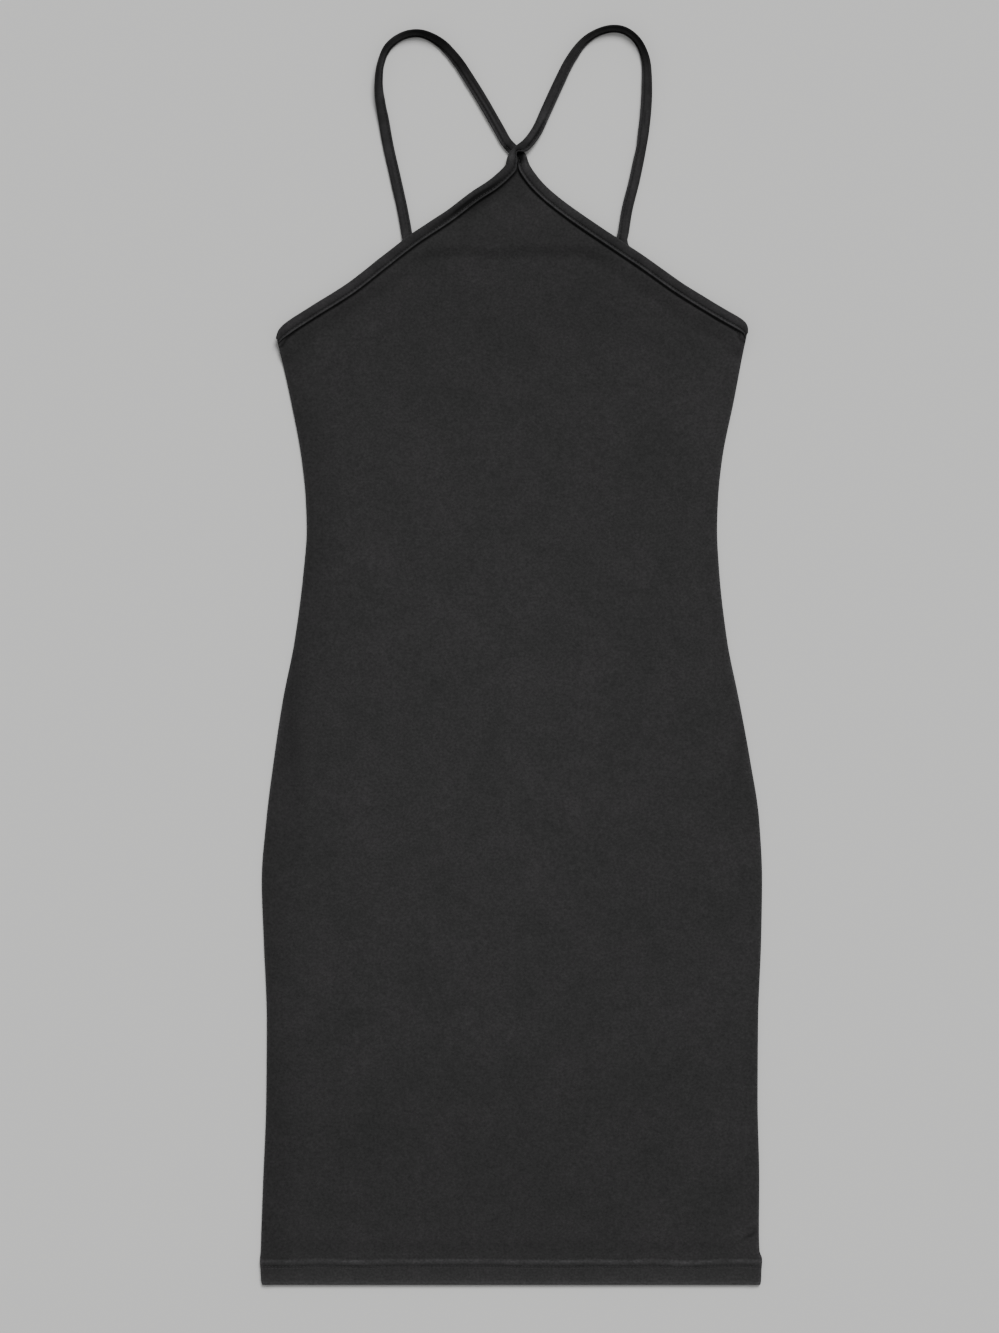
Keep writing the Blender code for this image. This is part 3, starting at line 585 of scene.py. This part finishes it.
def stripSection(width, thick, swell, loose, wider, folds):
    # from the fold over the top to the lip and into the slot, then the same below;
    # the columns are: towards the open edge, up, wear with painted highlight, and painted shade and light
    # with tone
    half, high = width / 2, thick / 2
    r, lipR = strip["foldRound"], cloth["wall"] / 2
    openHalf = half + wider
    lipStart = openHalf - lipR
    sewn = openHalf - strip["stitchIn"] * width / cloth["stripWidth"]

    turn = np.linspace(0.0, math.pi / 2, strip["foldPoints"], endpoint=False)
    foldTone = -strip["foldShade"][1] * loose
    fold = (r - half - r * np.cos(turn), high * np.sin(turn), strip["foldWearAndHighlight"], foldTone)

    inner = np.linspace(r - half, sewn, strip["innerPoints"])
    s = np.concatenate([inner, np.linspace(sewn, lipStart, strip["outerPoints"])[1:]])
    crown = np.sin(math.pi * np.clip((s + half) / (sewn + half), 0.0, 1.0))
    up = high + strip["crown"] * swell * crown + strip["lip"] * ease(s, sewn, lipStart)
    up -= bump(s, sewn, strip["grooveSpread"], strip["groove"])
    tone = -bump(s, sewn, strip["grooveSpread"], strip["grooveShade"])
    tone -= (1.0 - loose) * bump(s - sewn, *strip["stitchShade"])
    tone -= loose * (bump(s, -half, *strip["foldShade"]) + bump(abs(s), half, *strip["looseEdgeShade"]))
    # folds raise the cloth and carry painted shade along them; a few carry painted light
    for side, spread, height, darker in folds:
        up += bump(s, side * half, spread, height)
        tone += bump(s, side * half, spread, darker)
    flat = (s, up, bump(openHalf - s, *strip["lipWearAndHighlight"]), tone)

    turn = np.linspace(0.0, math.pi, strip["lipPoints"] + 1)[1:]
    down = turn / math.pi
    top = high + strip["lip"] * (1.0 - down) - lipR * (1.0 - np.cos(turn))
    lipWearAndHighlight, lipTone = strip["edgeWearAndHighlight"] * np.cos(turn / 2), -strip["insideShade"] * down
    lip = (lipStart + lipR * np.sin(turn), top, lipWearAndHighlight, lipTone)
    slot = ([strip["foldWall"] - half], high - cloth["wall"], 0.0, -strip["insideShade"])
    upper = np.vstack([np.column_stack(np.broadcast_arrays(*part)) for part in (fold, flat, lip, slot)])
    return np.vstack([upper, upper[:0:-1] * (1.0, -1.0, 1.0, 1.0)])


def stripRing(path, k, seed):
    # one cross-section in place, with its wear and painted highlight, its painted shade and light with
    # tone, and its way round
    along, width, thick, squeeze = (path[key][k] for key in ("along", "width", "thick", "squeeze"))

    def uneven(kind, row):
        pitch, amount = strip[kind]
        return amount * noise.noise(Vector((along / pitch, seed, row)))

    # folds along the strap, each with its painted shade
    folds = []
    for start, end, side, spread, height, tone in path["folds"]:
        if start < k < end:
            strong = math.sin(math.pi * (k - start) / (end - start)) ** 0.7
            folds.append((side, spread, height * strong, tone * strong))
    swell = 1.0 + uneven("swell", 0.3)
    section = stripSection(width, thick, swell, path["loose"][k], path["wider"][k], folds)
    side, high, wearAndHighlight, tone = section.T
    foldShare = np.clip(0.5 - side / width, 0.0, 1.0)
    skin = np.abs(high) > thick * 0.35  # not the inside of the slot
    high += uneven("pucker", 7.1) * np.sign(high) * (1.0 - foldShare) * skin
    high *= 1.0 + strip["squeezeSwell"] * (1.0 - squeeze)
    side += width / 2
    side *= squeeze
    side += uneven("wander", 3.7) * foldShare - width / 2
    tone += uneven("blotch", 5.9)
    girth = np.concatenate([[0.0], np.cumsum(np.hypot(np.diff(side), np.diff(high)))])

    cos, sin = math.cos(path["turn"][k]), math.sin(path["turn"][k])
    across = side * cos + high * sin
    up = high * cos - side * sin
    ring = np.empty((len(section), 3))
    ring[:, :2] = path["centre"][k] + across[:, None] * path["cross"][k]
    ring[:, 2] = up - up.min() + path["lift"][k]
    if path["onFront"][k]:
        ring[:, 2] += edgeLift(ring[:, 1])
    return ring, wearAndHighlight, tone, np.column_stack([girth, np.full(len(girth), along)])


def sweepStrip(name, path, seed, material):
    parts = zip(*[stripRing(path, k, seed) for k in range(len(path["along"]))])
    rings, wearAndHighlightRings, tones, flat = (np.array(part) for part in parts)
    count, size = rings.shape[:2]
    faces = []
    for k in range(count - 1):
        for i in range(size):
            j = (i + 1) % size
            faces.append((k * size + i, k * size + j, (k + 1) * size + j, (k + 1) * size + i))
    faces += [tuple(range(size)), tuple(range((count - 1) * size, count * size))]
    points = rings.reshape(-1, 3)
    obj = makeObject(name, toWorld(points), faces, material)
    pointOutwards(obj)
    boundTone = np.repeat(np.where(path["onFront"], strip["boundTone"], 0.0), size)
    # painted shade and painted light from the ovals and the cross-section, with uneven tone
    tones = paintedLightAndToneAt(points, path["name"]) + tones.ravel() + boundTone
    # wear and painted highlight
    storeFloat(obj, "wearAndHighlight", wearAndHighlightRings.ravel())
    storeFloat(obj, "paintedLightAndTone", np.maximum(tones, darkest))
    index = np.empty(len(obj.data.loops), int)
    obj.data.loops.foreach_get("vertex_index", index)
    uvLayer = obj.data.uv_layers.new(name="strip")
    uvLayer.data.foreach_set("uv", flat.reshape(-1, 2)[index].astype(np.float32).ravel())
    return obj, rings


overPath = layStrip("over", leftEdge, rightStrap, rightEdge, 1.0)
underPath = layStrip("under", rightEdge, leftStrap, leftEdge, -1.0)
overStrip, overRings = sweepStrip("overStrip", overPath, 2.0, bindingJersey)
underStrip, underRings = sweepStrip("underStrip", underPath, 11.0, bindingJersey)
print("folded strips made:", len(overRings), "and", len(underRings), "stations")


def backTopPath():
    # straight along the back's top edge, between the two strips at its corners
    ends = []
    for path, sign in ((underPath, 1.0), (overPath, -1.0)):
        near = (np.abs(path["centre"][:, 1] - topMiddle) < cloth["stripWidth"] * 0.75) & ~path["onFront"]
        inner = path["centre"] + path["cross"] * (cloth["stripWidth"] / 2 + cloth["gap"])
        ends.append(sign * (sign * inner[near, 0]).max())
    across = np.linspace(*ends, 60)
    same = {"width": cloth["stripWidth"], "thick": cloth["boundThick"], "squeeze": 1.0, "turn": 0.0,
            "lift": 0.0, "loose": 0.0, "wider": 0.0, "onFront": False}
    path = {key: np.full(len(across), value) for key, value in same.items()}
    centre = np.column_stack([across, np.full(len(across), topMiddle)])
    cross = np.tile([0.0, -1.0], (len(across), 1))
    return dict(path, name="top", along=across - ends[0], centre=centre, cross=cross, folds=[])


topPath = backTopPath()
topStrip, topRings = sweepStrip("backTopStrip", topPath, 23.0, bindingJersey)

# Front and back panels
panel = {
    "edgeColumns": [0.0, 0.0003, 0.0008, 0.0016, 0.003, 0.0045, 0.006, 0.0075, 0.009, 0.0105,
                    0.012, 0.0135, 0.015, 0.0168, 0.019, 0.0215, 0.0245, 0.028, 0.032, 0.037],
    "middleColumns": 96,
    "hemStep": (0.0182, 0.0194),  # the turned-up hem ends here
    "hemSlope": (0.0182, 0.0218),  # the front comes down from its doubled hem over this stretch
    "foldRound": 0.0012,
    "frontRows": ((0.045, 0.001), (0.785, 0.0054), (1.0, 0.00135)),  # up to here, spacing
    "backRows": ((0.03, 0.002), (0.785, 0.007), (1.0, 0.002)),
    "backMiddleColumns": 64,
    "edgeThick": 0.0004,
    "frontBlend": (0.0052, 0.0232),  # from a bound edge inwards
    "backBlend": (0.0052, 0.0142),
    "crestUp": (0.8758, 0.8886),  # the front steps over the back's top edge
    "crestDown": (0.8985, 0.94),
    "tongueTip": (0.0046, 0.9598),  # the front ends between the two lips
    "tongueWidth": 0.0012,
    "tongueRows": 4,
}
relief = {
    "loose": 0.0005,  # how far the front stands off the back where nothing holds it
    "seamHold": 0.016,
    "hemHold": (0.026, 0.042),
    "wave": (0.085, 0.0005),  # size, height
    "ripple": (0.026, 0.00016),
    "crestDroop": (0.042, 0.0026),  # the step over the back's top edge isn't straight
    "hemPucker": 0.009,  # length of the uneven places along the hem
    "hemWander": 0.0009,
    "hemRise": 0.0008,
    "hemRiseFrom": (0.0262, 0.0385),
    "hemRiseEnd": (0.05, 0.13),
    # ridges and dips: middle, spread, height
    "seamRidge": (0.0055, 0.0032, 0.00045),  # the seam allowance under the edge
    "seamRidgeEnd": (0.78, 0.8),
    "ditch": (0.0058, 0.0009, 0.0007),  # the cloth dips where it goes in under a lip
    "hemGroove": (0.0153, 0.0009, 0.0006),  # pulled in by the stitches
    "hemRidge": (0.0196, 0.0011, 0.00034),
    "sewnFrom": (0.0005, 0.0025),  # the hem's relief starts just inside the side seams
    # the back's underside isn't quite flat either
    "backHemGroove": (0.0155, 0.0016, 0.0003),
    "backSeamHold": (0.002, 0.016),
    "backHemHold": (0.02, 0.03),
    "backTopHold": (0.86, 0.88),
    "backWave": (0.06, 0.0001),
    "backDeepest": 0.00045,
}
shades = {
    # wear with painted highlight, and painted shade and light, on the panels: middle, spread, amount
    "hemCrestWearAndHighlight": (0.0202, 0.0006, 0.3),
    "hemRidgeWearAndHighlight": (0.0188, 0.0013, 0.14),
    "hemFoldWearAndHighlight": (0.0015, 0.0015, 0.3),
    "seamWearAndHighlight": (0.0006, 0.0012, 0.35),
    "leftSideShade": (0.0, 0.024, 0.18),
    "hemStitchShade": (0.0155, 0.001, 0.18),
    "overHemShade": (0.022, 0.0008, 0.1),
    "hemLight": [(0.013, 0.016, 0.05), (0.0, 0.0135, 0.2)],  # from, to, amount
    "lipShadow": (0.0056, 0.0011, 0.6),
    "besideLipLight": (0.009, 0.007, 0.05),
    "backHemStitchShade": (0.0155, 0.0013, 0.2),
    "backLipShadow": (0.0055, 0.0013, 0.5),
}
stitchUps = (0.0155, 0.0138)  # two rows round the hem

creases = [
    # soft ovals with their heights
    (0.206, 0.045, 0.007, 0.0022, 34, 0.0007),
    (0.203, 0.0405, 0.007, 0.002, 34, -0.0004),
    (-0.153, 0.271, 0.006, 0.0045, 20, -0.0005),
    (-0.036, 0.226, 0.008, 0.006, 70, 0.0004),
    (0.013, 0.29, 0.009, 0.006, 100, 0.0004),
    (-0.188, 0.47, 0.085, 0.008, 93, -0.0005),
    (0.195, 0.458, 0.05, 0.007, 84, -0.0004),
    (0.07, 0.56, 0.11, 0.02, 78, 0.0003),
    (-0.09, 0.65, 0.09, 0.018, 100, 0.0003),
    (0.02, 0.76, 0.07, 0.016, 12, 0.0003),
    (-0.06, 0.14, 0.09, 0.02, 160, 0.0003),
    (0.11, 0.2, 0.08, 0.018, 25, 0.0003),
    (-0.13, 0.806, 0.03, 0.007, 35, 0.0006),
    (0.135, 0.805, 0.032, 0.007, 145, 0.0005),
]
backCreases = [
    # the same for the underside of the back
    (-0.07, 0.755, 0.08, 0.013, 155, 0.0003),
    (0.085, 0.72, 0.07, 0.012, 30, 0.00026),
    (0.02, 0.645, 0.11, 0.015, 8, 0.00028),
    (-0.11, 0.55, 0.09, 0.014, 100, 0.0003),
    (0.12, 0.51, 0.1, 0.015, 80, 0.00026),
    (-0.02, 0.41, 0.12, 0.017, 95, 0.00024),
    (0.09, 0.29, 0.11, 0.016, 120, 0.00026),
    (-0.12, 0.21, 0.1, 0.015, 60, 0.00028),
    (0.01, 0.12, 0.09, 0.013, 5, 0.00022),
    (0.19, 0.05, 0.03, 0.01, 35, 0.0003),
]


def edgeOf(rows, ups, side):
    # a panel's edge: side seam below the underarm, bound edge above
    start = (float(seamAcross(side, cloth["seamTop"])), cloth["seamTop"])
    line = np.vstack([start, rows])
    across = np.interp(ups, line[:, 1], line[:, 0])
    return np.where(ups <= cloth["seamTop"], seamAcross(side, ups), across)


def panelGrid(ups, leftRows, rightRows, columns, middleCount):
    # the columns by the edges draw together where the panel gets narrow
    columns = np.array(columns)
    left, right = edgeOf(leftRows, ups, -1), edgeOf(rightRows, ups, 1)
    grid = []
    for up, a, b in zip(ups, left, right):
        shrink = min(1.0, (b - a) / 2 / (columns[-1] * 1.12))
        offsets = columns * shrink
        middle = np.linspace(a + offsets[-1], b - offsets[-1], middleCount + 1)[1:-1]
        across = np.concatenate([a + offsets, middle, (b - offsets)[::-1]])
        grid.append(np.column_stack([across, np.full(len(across), up)]))
    return np.array(grid)


def insideSeam(points):
    # how far in from the nearer side seam; above the underarms no seam is near
    ups = np.minimum(points[:, 1], cloth["seamTop"])
    left = points[:, 0] - seamAcross(-1, ups)
    right = seamAcross(1, ups) - points[:, 0]
    return np.where(points[:, 1] > cloth["seamTop"], 0.2, np.minimum(left, right))


def hemLayers(up):
    return cloth["wall"] * (2.0 - ease(up, *panel["hemStep"]))


def roundEdges(points, bottom, top, towardsTop):
    # quarter rounds at the side seams and a half round at the folded hem
    near = np.clip(insideSeam(points) / panel["foldRound"], 0.0, 1.0)
    side = 1.0 - np.sqrt(1.0 - (1.0 - near) ** 2)
    low = np.clip(points[:, 1] / panel["foldRound"], 0.0, 1.0)
    fold = (1.0 - np.sqrt(1.0 - (1.0 - low) ** 2)) * (1.0 - side)
    spare = top - bottom - panel["edgeThick"]
    return (bottom + spare * (side * towardsTop + fold / 2),
            top - spare * (side * (1.0 - towardsTop) + fold / 2))


def hemWaviness(across):
    # how far the hem's lines stray up and down, and how strong they are from place to place
    pitch = relief["hemPucker"]
    stray = noiseAlong(across, 4 * pitch, relief["hemWander"], 2.3)
    pull = 1.0 + noiseAlong(across, pitch, 0.6, 5.9)
    swell = 1.0 + noiseAlong(across, pitch * 1.3, 0.7, 8.4)
    swell += noiseAlong(across, pitch * 0.45, 0.6, 1.7)
    return stray, np.clip(pull, 0.2, 1.8), np.clip(swell, 0.1, 2.0)


# wear and painted highlight along the hem's fold and the side seams
def edgeWearAndHighlight(up, inside):
    return bump(up, *shades["hemFoldWearAndHighlight"]) + bump(inside, *shades["seamWearAndHighlight"])


def frontFaces(points, near):
    # near is how far each point is from a bound edge's lip
    up, inside = points[:, 1], insideSeam(points)
    stray, pull, swell = hemWaviness(points[:, 0])
    sewn = ease(inside, *relief["sewnFrom"])
    droop = noiseAlong(points[:, 0], *relief["crestDroop"], 6.6)
    level = layer + (stack - layer) * ease(up + droop, *panel["crestUp"])
    level *= 1.0 - ease(up, *panel["crestDown"])
    level += 2 * cloth["wall"] * (1.0 - ease(up - stray, *panel["hemSlope"]))
    free = ease(inside, 0.0, relief["seamHold"]) * ease(up, *relief["hemHold"])
    loose = relief["loose"] + softNoise(points, *relief["wave"], 4.2)
    loose += softNoise(points, *relief["ripple"], 9.6)
    loose = np.maximum(loose * free + sumOvals(points, creases), 0.0)
    rise = ease(up, *relief["hemRiseFrom"]) * (1.0 - ease(up, *relief["hemRiseEnd"]))
    loose += relief["hemRise"] * rise * ease(inside, 0.0, 2 * relief["seamHold"])
    ridge = bump(inside, *relief["seamRidge"]) * (1.0 - ease(up, *relief["seamRidgeEnd"]))
    held = 1.0 - ease(near, *panel["frontBlend"])
    under = (level + loose + ridge) * (1.0 - held) + (edgeLift(up) + layer) * held
    top = under - bump(near, *relief["ditch"]) + cloth["wall"]
    top -= pull * sewn * bump(up - stray, *relief["hemGroove"])
    top += swell * sewn * bump(up - stray, *relief["hemRidge"])
    bottom, top = roundEdges(points, top - hemLayers(up), top, 0.0)
    # wear and painted highlight along the hem's ridge
    hemWearAndHighlight = bump(up - stray, *shades["hemCrestWearAndHighlight"]) + bump(up - stray, *shades["hemRidgeWearAndHighlight"])
    return bottom, top, swell * hemWearAndHighlight + edgeWearAndHighlight(up, inside)


def frontPaintedLightAndTone(points, near):
    # painted shade by the left side, in the hem's stitching, above the hem, under the lips and in the
    # throat; painted light on the hem band and beside the lips
    up = points[:, 1]
    stray, pull, _ = hemWaviness(points[:, 0])
    left = points[:, 0] - seamAcross(-1, np.minimum(up, cloth["seamTop"]))
    total = paintedLightAndToneAt(points, "panel") - bump(left, *shades["leftSideShade"])
    total -= pull * bump(up - stray, *shades["hemStitchShade"]) + bump(up - stray, *shades["overHemShade"])
    for start, end, amount in shades["hemLight"]:
        total += amount * (1.0 - ease(up, start, end))
    total += bump(near, *shades["besideLipLight"]) - bump(near, *shades["lipShadow"])
    return np.maximum(total, darkest)


def backFaces(points, near):
    up, inside = points[:, 1], insideSeam(points)
    bottom = layer * (1.0 - ease(near, *panel["backBlend"]))
    bottom, top = roundEdges(points, bottom, bottom + hemLayers(up), 1.0)
    bottom += bump(up, *relief["backHemGroove"]) * ease(inside, *relief["sewnFrom"])
    free = ease(inside, *relief["backSeamHold"]) * ease(up, *relief["backHemHold"])
    free *= 1.0 - ease(up, *relief["backTopHold"])
    wave = relief["backWave"][1] + softNoise(points, *relief["backWave"], 3.1)
    bottom += np.clip(sumOvals(points, backCreases) + wave, 0.0, relief["backDeepest"]) * free
    return bottom, top, edgeWearAndHighlight(up, inside)


def backPaintedLightAndTone(points, near):
    # painted shade in the back's hem stitching and under its lips, with uneven tone from the ovals
    total = paintedLightAndToneAt(points, "back") - bump(points[:, 1], *shades["backHemStitchShade"])
    return total - bump(near, *shades["backLipShadow"])


def sewPanel(name, grid, faces, paintedLightAndTone, boundLines, lipOut=0.0):
    rows, columns = grid.shape[:2]
    points = grid.reshape(-1, 2)
    count = len(points)
    near = distanceTo(boundLines, points) - lipOut
    bottom, top, wearAndHighlight = faces(points, near)
    quads = []
    for i in range(rows - 1):
        for j in range(columns - 1):
            a = i * columns + j
            b, c, d = a + 1, a + columns + 1, a + columns
            quads.append((count + a, count + b, count + c, count + d))
            quads.append((d, c, b, a))
    rim = list(range(columns))
    rim += [i * columns + columns - 1 for i in range(1, rows)]
    rim += [(rows - 1) * columns + j for j in range(columns - 2, -1, -1)]
    rim += [i * columns for i in range(rows - 2, 0, -1)]
    for a, b in zip(rim, rim[1:] + rim[:1]):
        quads.append((a, b, count + b, count + a))
    verts = np.vstack([np.column_stack([points, bottom]), np.column_stack([points, top])])
    obj = makeObject(name, toWorld(verts), quads, panelJersey)
    pointOutwards(obj)
    # wear and painted highlight
    storeFloat(obj, "wearAndHighlight", np.tile(wearAndHighlight, 2))
    # painted shade and painted light, with uneven tone
    storeFloat(obj, "paintedLightAndTone", np.tile(paintedLightAndTone(points, near), 2))
    return obj


def rowUps(steps, top):
    # close rows at the hem's fold, then evenly spaced ones
    ups = [0.0, 0.0002, 0.0006, 0.0012, 0.0022]
    start = ups[-1] + steps[0][1]
    for end, spacing in steps:
        end = min(end, top)
        ups += list(np.arange(start, end, spacing))
        start = end
    return np.array(ups + [top])


def tongueRows(grid):
    # the front narrows to a point between the two lips
    last = grid[-1]
    tipAcross, tipUp = panel["tongueTip"]
    middle = (last[:, 0] - last[:, 0].mean()) / np.ptp(last[:, 0])
    tip = np.column_stack([tipAcross + middle * panel["tongueWidth"], np.full(len(last), tipUp)])
    shares = np.linspace(0.0, 1.0, panel["tongueRows"] + 1)[1:]
    return np.array([last + (tip - last) * share for share in shares])


def backLine(path):
    # the centre line of a strip along the back's armhole edge, up to the back's top strip
    line = path["centre"][path["back"]][::-1]
    before = path["centre"][path["back"].start - 1]
    share = (topMiddle - line[-1][1]) / (before[1] - line[-1][1])
    return np.vstack([line, line[-1] + (before - line[-1]) * share])


frontLines = [overPath["centre"][overPath["front"]], underPath["centre"][underPath["front"]]]
throat = min(line[-1, 1] for line in frontLines)
frontUps = rowUps(panel["frontRows"], throat)
frontGrid = panelGrid(frontUps, *frontLines, panel["edgeColumns"], panel["middleColumns"])
frontGrid = np.concatenate([frontGrid, tongueRows(frontGrid)])
front = sewPanel("frontJersey", frontGrid, frontFaces, frontPaintedLightAndTone, frontLines, strip["lipOut"])

backLines = [backLine(underPath), backLine(overPath)]
backUps = rowUps(panel["backRows"], backLines[0][-1][1])
backColumns = panel["edgeColumns"][::2] + panel["edgeColumns"][-1:]
backGrid = panelGrid(backUps, *backLines, backColumns, panel["backMiddleColumns"])
topEdge = np.array([line[-1] for line in backLines])
back = sewPanel("backJersey", backGrid, backFaces, backPaintedLightAndTone, backLines + [topEdge])
print("panels made:", len(front.data.polygons), "and", len(back.data.polygons), "faces")

# Stitches: the node group's inputs
stitch = {"Pitch": 0.003, "Length": 0.0024, "Thread": 0.00042, "Wobble": 0.1}


def stitchTree():
    # beads along the path, one for each stitch, each turned a little at random
    tree = bpy.data.node_groups.new("stitchRow", "GeometryNodeTree")
    kinds = {"Path": "Geometry", "Pitch": "Float", "Length": "Float", "Thread": "Float",
             "Wobble": "Float", "Seed": "Int", "Material": "Material"}
    for name, kind in kinds.items():
        tree.interface.new_socket(name=name, in_out="INPUT", socket_type="NodeSocket" + kind)
    tree.interface.new_socket(name="Stitches", in_out="OUTPUT", socket_type="NodeSocketGeometry")
    given = tree.nodes.new("NodeGroupInput").outputs
    spaced = addNode(tree, "GeometryNodeResampleCurve", mode="LENGTH", Curve=given["Path"])
    setNode(spaced, Length=given["Pitch"])
    bead = addNode(tree, "GeometryNodeMeshUVSphere", Segments=6, Rings=6, Radius=0.5)
    size = addNode(tree, "ShaderNodeCombineXYZ", X=given["Thread"], Y=given["Thread"], Z=given["Length"])
    shape = addNode(tree, "GeometryNodeTransform", Geometry=bead.outputs["Mesh"])
    setNode(shape, Scale=size.outputs["Vector"])
    tangent = addNode(tree, "GeometryNodeInputTangent").outputs["Tangent"]
    aim = addNode(tree, "FunctionNodeAlignRotationToVector", axis="Z", Vector=tangent)
    shake = addNode(tree, "FunctionNodeRandomValue", data_type="FLOAT_VECTOR", Seed=given["Seed"])
    setNode(shake, Min=mathNode(tree, "MULTIPLY", given["Wobble"], -1.0), Max=given["Wobble"])
    angles = addNode(tree, "FunctionNodeEulerToRotation", Euler=shake.outputs["Value"])
    turn = addNode(tree, "FunctionNodeRotateRotation", rotation_space="LOCAL")
    setNode(turn, Rotation=aim.outputs["Rotation"], Rotate_By=angles.outputs["Rotation"])
    put = addNode(tree, "GeometryNodeInstanceOnPoints", Points=spaced.outputs["Curve"])
    setNode(put, Instance=shape.outputs["Geometry"], Rotation=turn.outputs["Rotation"])
    real = addNode(tree, "GeometryNodeRealizeInstances", Geometry=put.outputs["Instances"])
    painted = addNode(tree, "GeometryNodeSetMaterial", Geometry=real.outputs["Geometry"])
    setNode(painted, Material=given["Material"])
    addNode(tree, "NodeGroupOutput", Stitches=painted.outputs["Geometry"])
    return tree


def sewRows(name, rows, tree, seed):
    # rows is a list of routes in world coordinates
    curve = bpy.data.curves.new(name + "Path", "CURVE")
    curve.dimensions = "3D"
    for row in rows:
        spline = curve.splines.new("POLY")
        spline.points.add(len(row) - 1)
        spline.points.foreach_set("co", np.column_stack([row, np.ones(len(row))]).ravel())
    guide = addObject(name + "Path", curve)
    modifier = guide.modifiers.new("stitches", "NODES")
    modifier.node_group = tree
    given = {s.name: s.identifier for s in tree.interface.items_tree if s.in_out == "INPUT"}
    for key, value in dict(stitch, Seed=seed, Material=sewingThread).items():
        modifier[given[key]] = value
    depsgraph = bpy.context.evaluated_depsgraph_get()
    mesh = bpy.data.meshes.new_from_object(guide.evaluated_get(depsgraph), depsgraph=depsgraph)
    mesh.name = name
    mesh.shade_smooth()
    bpy.data.objects.remove(guide, do_unlink=True)
    return addObject(name, mesh)


threadLift = {"binding": 0.25, "hem": 0.15, "floor": 0.65}  # of its thickness, off what it lies on
hemPoints = 240
hemStart = 0.0015  # the rows start this far from the side seams
farIn = 1.0  # no bound edge is near the hem


def keepOffFloor(route):
    route[:, 2] = np.maximum(route[:, 2], stitch["Thread"] * threadLift["floor"])
    return route


def surfaceRow(rings, index, lift):
    # follows one column of a strip's rings, raised off its surface
    row = rings[:, index].copy()
    across = rings[:, index + 1] - rings[:, index - 1]
    along = np.gradient(row, axis=0)
    normal = np.cross(across, along)
    normal /= np.linalg.norm(normal, axis=1)[:, None]
    outward = np.sign(np.sum((row - rings.mean(axis=1)) * normal, axis=1))
    return keepOffFloor(toWorld(row + normal * outward[:, None] * lift))


def stripRows(rings):
    groove = strip["foldPoints"] + strip["innerPoints"] - 1
    lift = stitch["Thread"] * threadLift["binding"]
    return [surfaceRow(rings, i, lift) for i in (groove, rings.shape[1] - groove)]


def hemRoute(up, onFront):
    ends = float(seamAcross(-1, up)) + hemStart, float(seamAcross(1, up)) - hemStart
    across = np.linspace(*ends, hemPoints)
    stray = hemWaviness(across)[0] if onFront else np.zeros(len(across))
    points = np.column_stack([across, up + stray])
    bottom, top, _ = frontFaces(points, farIn) if onFront else backFaces(points, farIn)
    proud = stitch["Thread"] * threadLift["hem"]
    height = top + proud if onFront else bottom - proud
    return keepOffFloor(toWorld(np.column_stack([points, height])))


stitchNodes = stitchTree()
hemRoutes = [hemRoute(up, onFront) for up in stitchUps for onFront in (True, False)]
hemStitches = sewRows("hemStitches", hemRoutes, stitchNodes, 5)
bindingRoutes = stripRows(overRings) + stripRows(underRings) + stripRows(topRings)
bindingStitches = sewRows("bindingStitches", bindingRoutes, stitchNodes, 8)
print("stitches made:", len(hemStitches.data.polygons) + len(bindingStitches.data.polygons), "faces")

# What stands for what
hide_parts("front_panel")
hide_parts("back_panel")
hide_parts("strip_over")
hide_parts("strip_under")
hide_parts("back_top_binding")
for piece in (front, back, overStrip, underStrip, topStrip, hemStitches, bindingStitches):
    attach(piece, "root")


# Pale floor, soft light from the top of the view, camera straight above
studio = {
    "floorColour": (0.8, 0.8, 0.79),
    "floorRoughness": 0.9,
    "floorSize": 60.0,
    "floorDown": 0.0003,  # under the dress
    "imageHeight": 1.1417,  # of the floor, in metres
    "imageCentre": (-0.0099, -0.0098),
    "cameraHeight": 2.4,
    "sunSide": 20.0,  # degrees to the right of the top of the view
    "sunHeight": 50.0,
    "sunSpread": 26.0,
    "sunStrength": 2.4,
    "sky": 0.33,
}


def makeStage():
    bpy.ops.mesh.primitive_plane_add(size=studio["floorSize"], location=(0.0, 0.0, -studio["floorDown"]))
    floor = bpy.context.object
    floor.name = "floor"
    material, _, shader = newMaterial("paleFloor")
    setNode(shader, Base_Color=(*studio["floorColour"], 1.0), Roughness=studio["floorRoughness"])
    floor.data.materials.append(material)


def addSun():
    side, height = math.radians(studio["sunSide"]), math.radians(studio["sunHeight"])
    level = math.cos(height)
    towards = Vector((math.sin(side) * level, math.cos(side) * level, math.sin(height)))
    light = bpy.data.lights.new("softSun", "SUN")
    light.angle = math.radians(studio["sunSpread"])
    light.energy = studio["sunStrength"]
    obj = addObject("softSun", light)
    obj.rotation_euler = towards.to_track_quat("Z", "Y").to_euler()
    obj.location = towards * 3.0


def addCamera():
    camera = bpy.data.cameras.new("camera")
    camera.sensor_width = 36.0
    camera.lens = camera.sensor_width * studio["cameraHeight"] / studio["imageHeight"]
    obj = addObject("camera", camera)
    obj.location = (*studio["imageCentre"], studio["cameraHeight"])
    bpy.context.scene.camera = obj


makeStage()
addSun()
world = bpy.data.worlds.new("studio")
world.use_nodes = True
setNode(world.node_tree.nodes["Background"], Color=(1.0, 1.0, 1.0, 1.0), Strength=studio["sky"])
bpy.context.scene.world = world
addCamera()
print("stage, lights and camera made")

bpy.context.view_layer.update()
